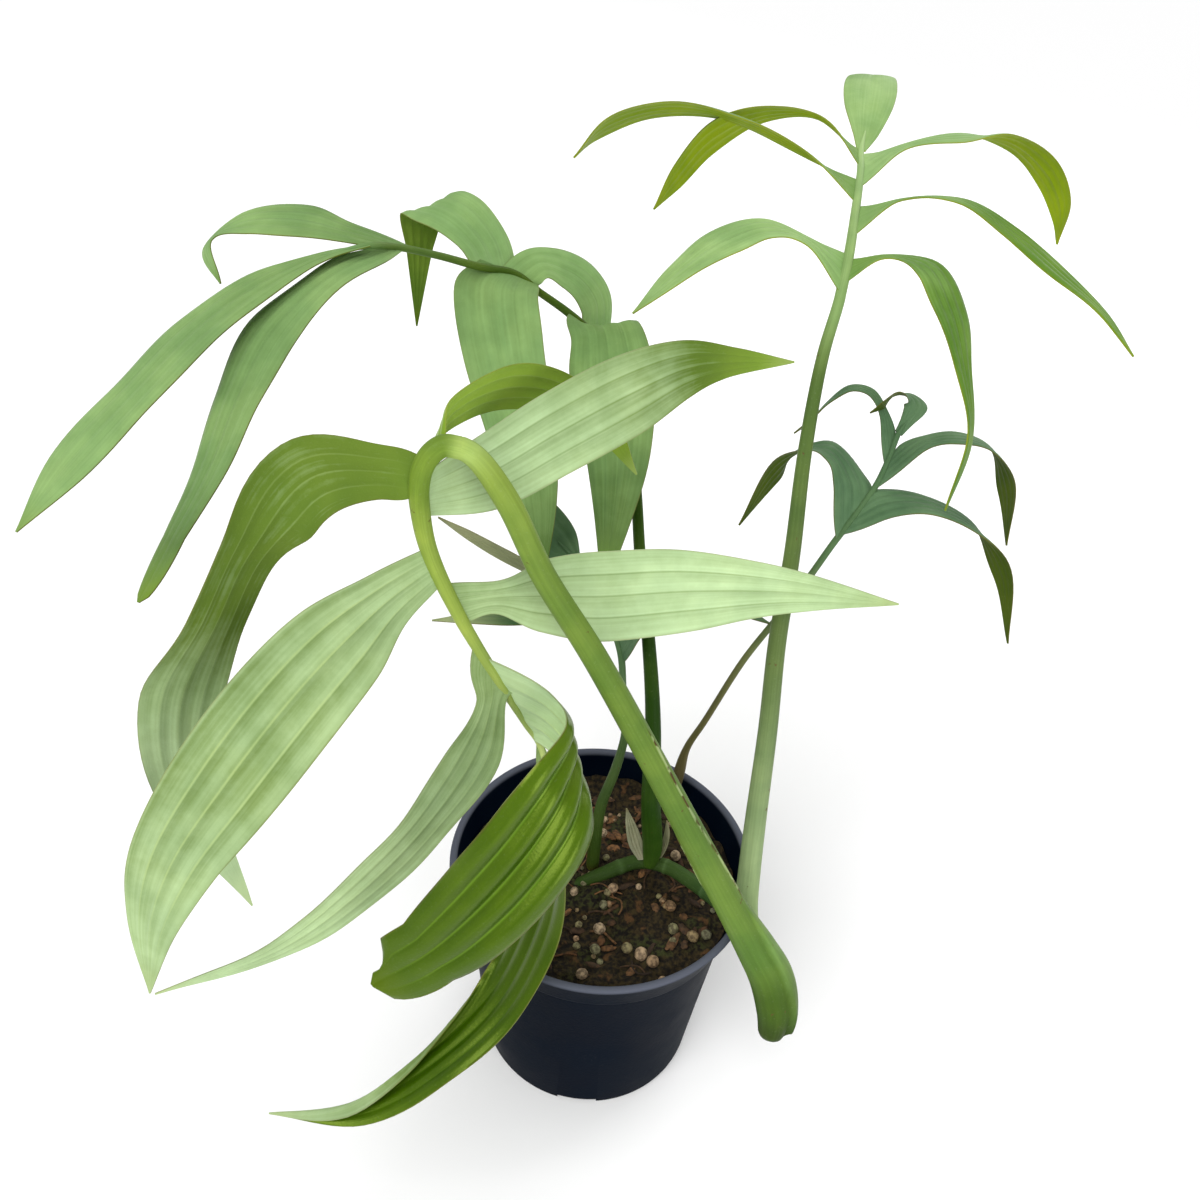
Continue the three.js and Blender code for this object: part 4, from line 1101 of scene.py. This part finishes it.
# %% Wing, dry margins and papery leftovers
WING_EDGE = [(0.0, 5.8), (0.1, 5.5), (0.18, 5.25), (0.26, 5.45), (0.36, 5.75)]
WING_RISE, WING_END, WING_FADE = 0.02, 0.37, 0.1
WING_RAISE = 2.3
WING_STEP = 0.09
WING_REACH = 1.9
DRY_MARGINS = [
    [(0.38, 6.1), (0.43, 5.93), (0.47, 5.65), (0.51, 5.6), (0.56, 5.8)],
    [(0.4, 3.4), (0.43, 3.4), (0.46, 3.35)],
]
MARGIN_RAISE = 0.3
MARGIN_HALF = 0.1
SHEATHED_SIDES = 80
PAPERY_SHEATH = [
    {"spine": [(15, 3, 94), (11.5, 3, 104), (9, 3, 113), (7, 3, 121)], "wide": [3.5, 5, 3.5],
     "face": [(0, 10, 3), (-1, 10, 2), (-2, 10, 1)], "wave": 0.5, "pale": [0.9, 0.5, 0.2]},
    {"spine": [(20.5, 5, 92), (22.3, 5, 100), (22.7, 5, 107), (22, 5, 114)], "wide": [2, 2.6, 2],
     "face": [(0, 10, 3), (1, 10, 2), (2, 10, 1)], "wave": 0.5, "pale": [0.2, 0.1, 0]},
]


def front_sheath(part, angle):
    wing = max(0.0, min(part / WING_RISE, (WING_END - part) / WING_FADE, 1))
    past = (angle - np.interp(part, *zip(*WING_EDGE))) % (2 * math.pi)
    # Past the step the wing is painted paler, partly its own paler skin and partly painted light on the
    # step.
    step = wing * min(past / WING_STEP, 1)
    for margin in DRY_MARGINS:
        if margin[0][0] < part < margin[-1][0]:
            if abs(angle - np.interp(part, *zip(*margin))) < MARGIN_HALF:
                return MARGIN_RAISE, -1.0
    return WING_RAISE * step * max(0.0, 1 - past / WING_REACH), step if past < WING_REACH else 0.0


print("dry margins:", len(DRY_MARGINS), "and papery leftovers:", len(PAPERY_SHEATH))

# %% Grow the fronds
LEAF_SEED = 4
PETIOLE_EXTRAS = {
    "front": {"swell": front_sheath, "sides": SHEATHED_SIDES},
    "back": {"sheaths": PAPERY_SHEATH},
}
random.seed(LEAF_SEED)
for frond in (FRONT_FROND, RIGHT_FROND, BACK_FROND, LOW_FROND, YOUNG_FROND):
    grow_leaf(frond)
    grow_petiole(frond, **PETIOLE_EXTRAS.get(frond["name"], {}))

# %% [markdown]
# ## Creeping stem
# The stem that carries all fronds runs over the soil and climbs the rim. It is a thick tube with a
# low ring at each node, where an older frond once sat. The rings are a swelling that repeats along it.

# %% Make the creeping stem
STEM_NODES = 6
NODE_RAISE = 0.25
NODE_SHARPNESS = 5


def stem_rings(part, _):
    ring = max(0.0, 1 - abs(math.sin(part * STEM_NODES * math.pi)) * NODE_SHARPNESS)
    return NODE_RAISE * ring, ring


def make_creeper():
    collector = Collector()
    rings = (len(CREEPER["points"]) - 1) * RINGS_A_STEP * 2
    add_tube(collector, CREEPER["points"], CREEPER["radii"], rings, stem_rings)
    piece = collector.build("creeping_stem_tube", [STALK_MATERIALS["creeper"]])
    finish_piece(piece, ["creeping_stem"])


make_creeper()

# %% [markdown]
# ## The pot
# A nursery pot is moulded in thin plastic: a tapered body, a wider collar and a rolled lip. Turning its
# outline with a Screw modifier would work, and so would a cylinder with loops moved by hand. The outline
# is turned in code here, with round corners, and Boolean modifiers cut drain holes and foot notches.

# %% Outline of the pot
POT_HEIGHT = 97.0
RIM_RADIUS = 55.0
LIP = POT_HEIGHT - 3.0
BEAD_RADIUS = 1.35
BEAD_RISE = 1.6
BEAD_STEPS = 8
BEAD_START = 0.12
COLLAR_FOOT = 82.0
COLLAR_RADIUS = 50.5
SHOULDER_RADIUS = 48.8
BELLY_RADIUS = 45.1
BASE_RADIUS = 41.5
WALL = 1.6
FLOOR = 2.4


def pot_outline():
    outer = [
        (0.0, 0.0), (BASE_RADIUS - 1.2, 0.0), (BASE_RADIUS - 0.5, 0.15), (BASE_RADIUS - 0.1, 0.6),
        (BASE_RADIUS + 0.05, 1.4), (BELLY_RADIUS, COLLAR_FOOT / 2),
        (SHOULDER_RADIUS - 0.1, COLLAR_FOOT - 2.6), (SHOULDER_RADIUS + 0.1, COLLAR_FOOT - 1.7),
        (SHOULDER_RADIUS + 0.9, COLLAR_FOOT - 0.9), (COLLAR_RADIUS, COLLAR_FOOT + 0.1),
        (COLLAR_RADIUS + 0.35, COLLAR_FOOT + 1.2), (RIM_RADIUS - 1.5, LIP - 0.5),
        (RIM_RADIUS - 1.3, LIP - 0.1), (RIM_RADIUS - 0.6, LIP + 0.2),
    ]
    bead = []
    for step in range(BEAD_STEPS + 1):
        turn = math.pi * (step / BEAD_STEPS - BEAD_START)
        bead.append((RIM_RADIUS + BEAD_RADIUS * (math.cos(turn) - 1),
                     LIP + BEAD_RISE + BEAD_RADIUS * math.sin(turn)))
    inner = [
        (RIM_RADIUS - 2.8, LIP), (COLLAR_RADIUS - WALL + 0.1, COLLAR_FOOT + 0.8),
        (COLLAR_RADIUS - WALL - 0.4, COLLAR_FOOT - 0.2), (SHOULDER_RADIUS - WALL, COLLAR_FOOT - 1.5),
        (BASE_RADIUS - WALL + 0.3, FLOOR + 1.0), (BASE_RADIUS - WALL - 0.7, FLOOR), (0.0, FLOOR),
    ]
    return [*outer, *bead, *inner]


def turn_outline(outline, sides):
    """Rings of one outline. The two ends on the axis become single points."""
    angles = np.linspace(0, 2 * math.pi, sides, endpoint=False)
    points, faces = [(0.0, 0.0, outline[0][1])], []
    for radius, height in outline[1:-1]:
        points.extend((radius * math.cos(a), radius * math.sin(a), height) for a in angles)
    points.append((0.0, 0.0, outline[-1][1]))
    rings = len(outline) - 2
    for side in range(sides):
        following = (side + 1) % sides
        faces.append((0, 1 + following, 1 + side))
        for a in range(1, 1 + (rings - 1) * sides, sides):
            faces.append((a + side, a + following, a + sides + following, a + sides + side))
        last = 1 + (rings - 1) * sides
        faces.append((last + side, last + following, len(points) - 1))
    return np.array(points), faces


print("points on the outline of the pot:", len(pot_outline()))

# %% Cutters for notches and drain holes
NOTCHES = 4
FIRST_NOTCH = math.radians(-92)
NOTCH_SIZE = (24.0, 15.0, 4.6)
DRAIN_RADIUS = 3.5
DRAIN_CIRCLE = 33.0
DRAIN_SIDES = 32
BOX_FACES = [(0, 1, 3, 2), (4, 6, 7, 5), (0, 4, 5, 1), (2, 3, 7, 6), (0, 2, 6, 4), (1, 5, 7, 3)]


def pot_cutters():
    corners = np.array([(x, y, z) for x in (-1, 1) for y in (-1, 1) for z in (-1, 1)])
    notch = corners * np.array(NOTCH_SIZE) / 2 + (BASE_RADIUS, 0, 0), BOX_FACES
    outline = [(0.0, -FLOOR), (DRAIN_RADIUS, -FLOOR), (DRAIN_RADIUS, FLOOR * 2), (0.0, FLOOR * 2)]
    points, faces = turn_outline(outline, DRAIN_SIDES)
    drain = points + (DRAIN_CIRCLE, 0, 0), faces
    cutters = []
    for index in range(NOTCHES):
        turn = Matrix.Rotation(FIRST_NOTCH + index * 2 * math.pi / NOTCHES, 4, "Z")
        for name, shape in (("notch", notch), ("drain", drain)):
            collector = Collector()
            collector.add(*shape)
            cutters.append(collector.build(f"{name}_{index}", sharp_angle=None))
            cutters[-1].data.transform(turn)
    return cutters


def cut_away(piece, cutters):
    for cutter in cutters:
        modifier = piece.modifiers.new("cut", "BOOLEAN")
        modifier.operation = "DIFFERENCE"
        modifier.object = cutter
        modifier.solver = "EXACT"
    graph = bpy.context.evaluated_depsgraph_get()
    mesh = bpy.data.meshes.new_from_object(piece.evaluated_get(graph))
    piece.modifiers.clear()
    piece.data = mesh
    for cutter in cutters:
        bpy.data.objects.remove(cutter)


print("cuts in the pot:", NOTCHES * 2)

# %% Turn, cut and colour the pot
POT_SIDES = 160
POT_SHARP = math.radians(32)
NAVY = ((0.001, 0.003, 0.008), (0.002, 0.005, 0.011))
DUST_GREY = (0.1, 0.1, 0.1)
# Painted highlight on the top of the rim bead.
RIM_BEAD_HIGHLIGHT = (0.12, 0.13, 0.165)


def plastic_material():
    material, tree, shader = start_material("navy plastic", 0.5, 0.01)
    place = add_node(tree, "TexCoord").outputs["Object"]
    height = add_node(tree, "SeparateXYZ", {"Vector": place}).outputs["Z"]
    cloud, fine = noise_over(tree, 40.0, 4.0), noise_over(tree, 900.0, 3.0)
    dusty = times(tree, ramp(tree, fine, 0.56, 0.72), ramp(tree, cloud, 0.4, 0.75))
    colour = lay_over(tree, mix_colours(tree, ramp(tree, cloud, 0.3, 0.7), *NAVY), [
        (times(tree, dusty, 0.05), DUST_GREY),
        # Painted highlight: the top of the rim bead is painted lighter, as where it catches the light.
        (times(tree, ramp(tree, height, 0.0945, 0.0965), 0.8), RIM_BEAD_HIGHLIGHT),
    ])
    tree.links.new(ramp(tree, cloud, 0.25, 0.75, 0.36, 0.5), shader.inputs["Roughness"])
    finish_surface(tree, shader, colour, fine, 0.15, 0.0004)
    return material


def make_pot():
    collector = Collector()
    collector.add(*turn_outline(pot_outline(), POT_SIDES))
    pot = collector.build("nursery_pot", sharp_angle=None)
    cut_away(pot, pot_cutters())
    pot.data.materials.clear()
    pot.data.materials.append(plastic_material())
    pot.data.shade_smooth()
    pot.data.set_sharp_from_angle(angle=POT_SHARP)
    return finish_piece(pot, ["pot"])


pot = make_pot()
print("pot faces after the cuts:", len(pot.data.polygons))

# %% [markdown]
# ## Potting mix
# The mix is dark peat and bark with clay pellets on top. Particles would scatter crumbs quickly, but
# they are not real mesh. A fine round grid is roughened with noise instead, and pellets, chips and
# fibres are small meshes set on it by rule. All of it is one piece, as the mix is.

# %% Shape the mix
MIX_LEVEL = 86.0
MIX_RADIUS = 49.4
MIX_RINGS = 64
MIX_SIDES = 144
MIX_FOOT = [(0.0, 2.7), (39.6, 2.7), (46.9, 80.5)]
WAVE_RISE = 1.5
CRUMB_HEIGHT = 1.5
CRUMB_NOISE = [(0.22, 3.0, 0.6), (0.6, 9.0, 0.9), (1.5, 5.0, 0.5)]


def mix_height(x, y):
    """The broad waves are those of the solid. Three sizes of noise add crumbs."""
    broad = math.sin(x * 0.13 + 1.1) * math.cos(y * 0.11 - 0.4) + math.sin(x * 0.43 - y * 0.31) * 0.5
    waves, *crumbs = (noise.noise((x * size, y * size, z)) * rise for size, z, rise in CRUMB_NOISE)
    return MIX_LEVEL + WAVE_RISE * broad + CRUMB_HEIGHT * (waves + sum(map(abs, crumbs)) - 0.4)


def add_mix_body(collector):
    top = [(MIX_RADIUS * ring / MIX_RINGS, MIX_LEVEL) for ring in range(MIX_RINGS, -1, -1)]
    points, faces = turn_outline(MIX_FOOT + top, MIX_SIDES)
    for point in points:
        if point[2] > MIX_LEVEL - 0.5:
            point[2] = mix_height(point[0], point[1])
    collector.add(points, faces)


def add_lump(collector, at, sizes, slot, tone, rough=0.15, turn=0.0, tilt=0.0, rings=7, sides=12):
    """A rounded lump such as a pellet or a chip, roughened by noise."""
    turns = [math.pi * ring / rings for ring in range(rings + 1)]
    points, faces = turn_outline([(math.sin(turn_at), -math.cos(turn_at)) for turn_at in turns], sides)
    for point in points:
        point *= 1 + rough * noise.noise(Vector(point * 1.7) + Vector(at))
    points = points * np.array(sizes) / 2
    spin = Matrix.Rotation(turn, 3, "Z") @ Matrix.Rotation(tilt, 3, "Y")
    collector.add(points @ np.array(spin).T + np.array(at), faces, slot, tone=tone)


print("height of the mix at its middle:", round(mix_height(0, 0), 1), "mm")

# %% Scatter pellets, chips and fibres
LITTLE_PELLETS = 60
CHIPS = 90
FIBRES = 26
FIBRE_POINTS = 5
FIBRE_STEP = 2.6
MIX_SEED = 21
SHOWN_PELLETS = [
    (5, -6, 4.2, 0.1), (2, -12, 3.4, 0.9), (1, -23, 4.4, 0.2), (0, -31, 4.2, 0.85), (16, -32, 5.0, 0.15),
    (-4, -42, 4.4, 0.35), (11, -31, 4.0, 0.7), (20, -36, 4.6, 0.45), (26, -12, 4.4, 0.5),
    (27, -22, 4.2, 0.8), (34, -24, 4.6, 0.6), (39, -22, 4.0, 0.95), (24, -42, 4.2, 0.1),
    (-9, -8, 3.4, 0.3), (0, 20, 4.0, 0.2), (12, 17, 4.4, 0.4), (-24, 18, 4.0, 0.6), (28, 12, 4.2, 0.3),
]


def spot_on_mix(chance, margin):
    radius = math.sqrt(chance.random()) * (MIX_RADIUS - margin)
    angle = chance.random() * 2 * math.pi
    return radius * math.cos(angle), radius * math.sin(angle)


def add_fibre(collector, chance):
    x, y = spot_on_mix(chance, 10)
    heading, bend = chance.random() * 6.28, chance.uniform(-0.8, 0.8)
    points = []
    for _ in range(FIBRE_POINTS):
        points.append((x, y, mix_height(x, y) + 0.5))
        x, y = x + FIBRE_STEP * math.cos(heading), y + FIBRE_STEP * math.sin(heading)
        heading += bend
    if max(math.hypot(px, py) for px, py, _ in points) < MIX_RADIUS - 1:
        width = chance.uniform(0.25, 0.5)
        add_tube(collector, points, [width, width], 10, sides=6, slot=2, tone=chance.random())


def scatter_on_mix(collector):
    chance = random.Random(MIX_SEED)
    for x, y, size, tone in SHOWN_PELLETS:
        sizes = (size, size * chance.uniform(0.85, 1), size * chance.uniform(0.85, 1))
        at = (x, y, mix_height(x, y) + size * 0.25)
        add_lump(collector, at, sizes, 1, tone, 0.12, chance.random() * 6, rings=9, sides=16)
    for _ in range(LITTLE_PELLETS):
        x, y = spot_on_mix(chance, 4)
        size = chance.uniform(1.4, 3.0)
        at = (x, y, mix_height(x, y) + size * 0.2)
        add_lump(collector, at, (size, size, size * 0.9), 1, chance.random(), 0.2)
    for _ in range(CHIPS):
        x, y = spot_on_mix(chance, 6)
        sizes = (chance.uniform(3, 9), chance.uniform(1.5, 3.4), chance.uniform(0.8, 1.8))
        add_lump(collector, (x, y, mix_height(x, y) + 0.3), sizes, 2, chance.random(), 0.5,
                 chance.random() * 6, chance.uniform(-0.4, 0.4))
    for _ in range(FIBRES):
        add_fibre(collector, chance)


print("pellets:", len(SHOWN_PELLETS) + LITTLE_PELLETS, "chips:", CHIPS)

# %% [markdown]
# ## Colours of the mix
# Peat has no colour of its own under the moss and the rust of bark dust. Pellets and chips each take one
# colour from a short ramp, by the mark tone that was drawn for each lump. Dirt in their hollows is the
# same on both, so it is a node group that each of the two materials uses.

# %% Node group: lump grain
LUMP_DIRT = (0.03, 0.02, 0.012)


def grain_group():
    inputs = {"Color": (0.4, 0.3, 0.2), "Dirt": LUMP_DIRT}
    group, given, result = start_group("Lump grain", inputs, {"Color": "Color", "Height": "Float"})
    fine = noise_over(group, 700.0, 4.0)
    dirty = ramp(group, fine, 0.62, 0.38, 0.0, 0.7)
    group.links.new(mix_colours(group, dirty, given["Color"], given["Dirt"]), result["Color"])
    group.links.new(fine, result["Height"])
    return group


LUMP_GRAIN = grain_group()
print("group:", LUMP_GRAIN.name)

# %% Colour and build the mix
PEAT = ((0.008, 0.006, 0.004), (0.05, 0.034, 0.012))
MOSS = (0.04, 0.052, 0.014)
RUST = (0.16, 0.075, 0.028)
PELLETS = [(0.5, 0.3, 0.16), (0.55, 0.42, 0.27), (0.33, 0.2, 0.1), (0.3, 0.27, 0.13), (0.2, 0.2, 0.12)]
BARK = [(0.16, 0.07, 0.025), (0.05, 0.03, 0.018), (0.25, 0.12, 0.045), (0.03, 0.02, 0.014)]


def mix_material():
    material, tree, shader = start_material("dark potting mix", 0.9, 0.25)
    broad, fine = noise_over(tree, 55.0, 3.0), noise_over(tree, 600.0, 5.0)
    mossy = times(tree, ramp(tree, broad, 0.5, 0.62), ramp(tree, fine, 0.4, 0.6))
    rusty = ramp(tree, noise_over(tree, 170.0, 4.0), 0.6, 0.7)
    colour = lay_over(tree, mix_colours(tree, ramp(tree, fine, 0.35, 0.7), *PEAT), [
        (times(tree, mossy, 0.7), MOSS),
        (times(tree, rusty, 0.55), RUST),
    ])
    finish_surface(tree, shader, colour, fine, 0.8, 0.0012)
    return material


def lump_material(name, colours, rough):
    """Each lump takes its own place on a ramp of colours."""
    material, tree, shader = start_material(name, rough, 0.3)
    stops = [(index / (len(colours) - 1), colour) for index, colour in enumerate(colours)]
    own = colour_ramp(tree, read_mark(tree, "tone"), stops)
    grain = use_group(tree, LUMP_GRAIN, {"Color": own})
    finish_surface(tree, shader, grain["Color"], grain["Height"], 0.5, 0.0006)
    return material


def make_mix():
    collector = Collector()
    add_mix_body(collector)
    scatter_on_mix(collector)
    materials = [mix_material(), lump_material("clay pellets", PELLETS, 0.8),
                 lump_material("bark chips", BARK, 0.85)]
    finish_piece(collector.build("potting_mix", materials), ["soil"])


make_mix()
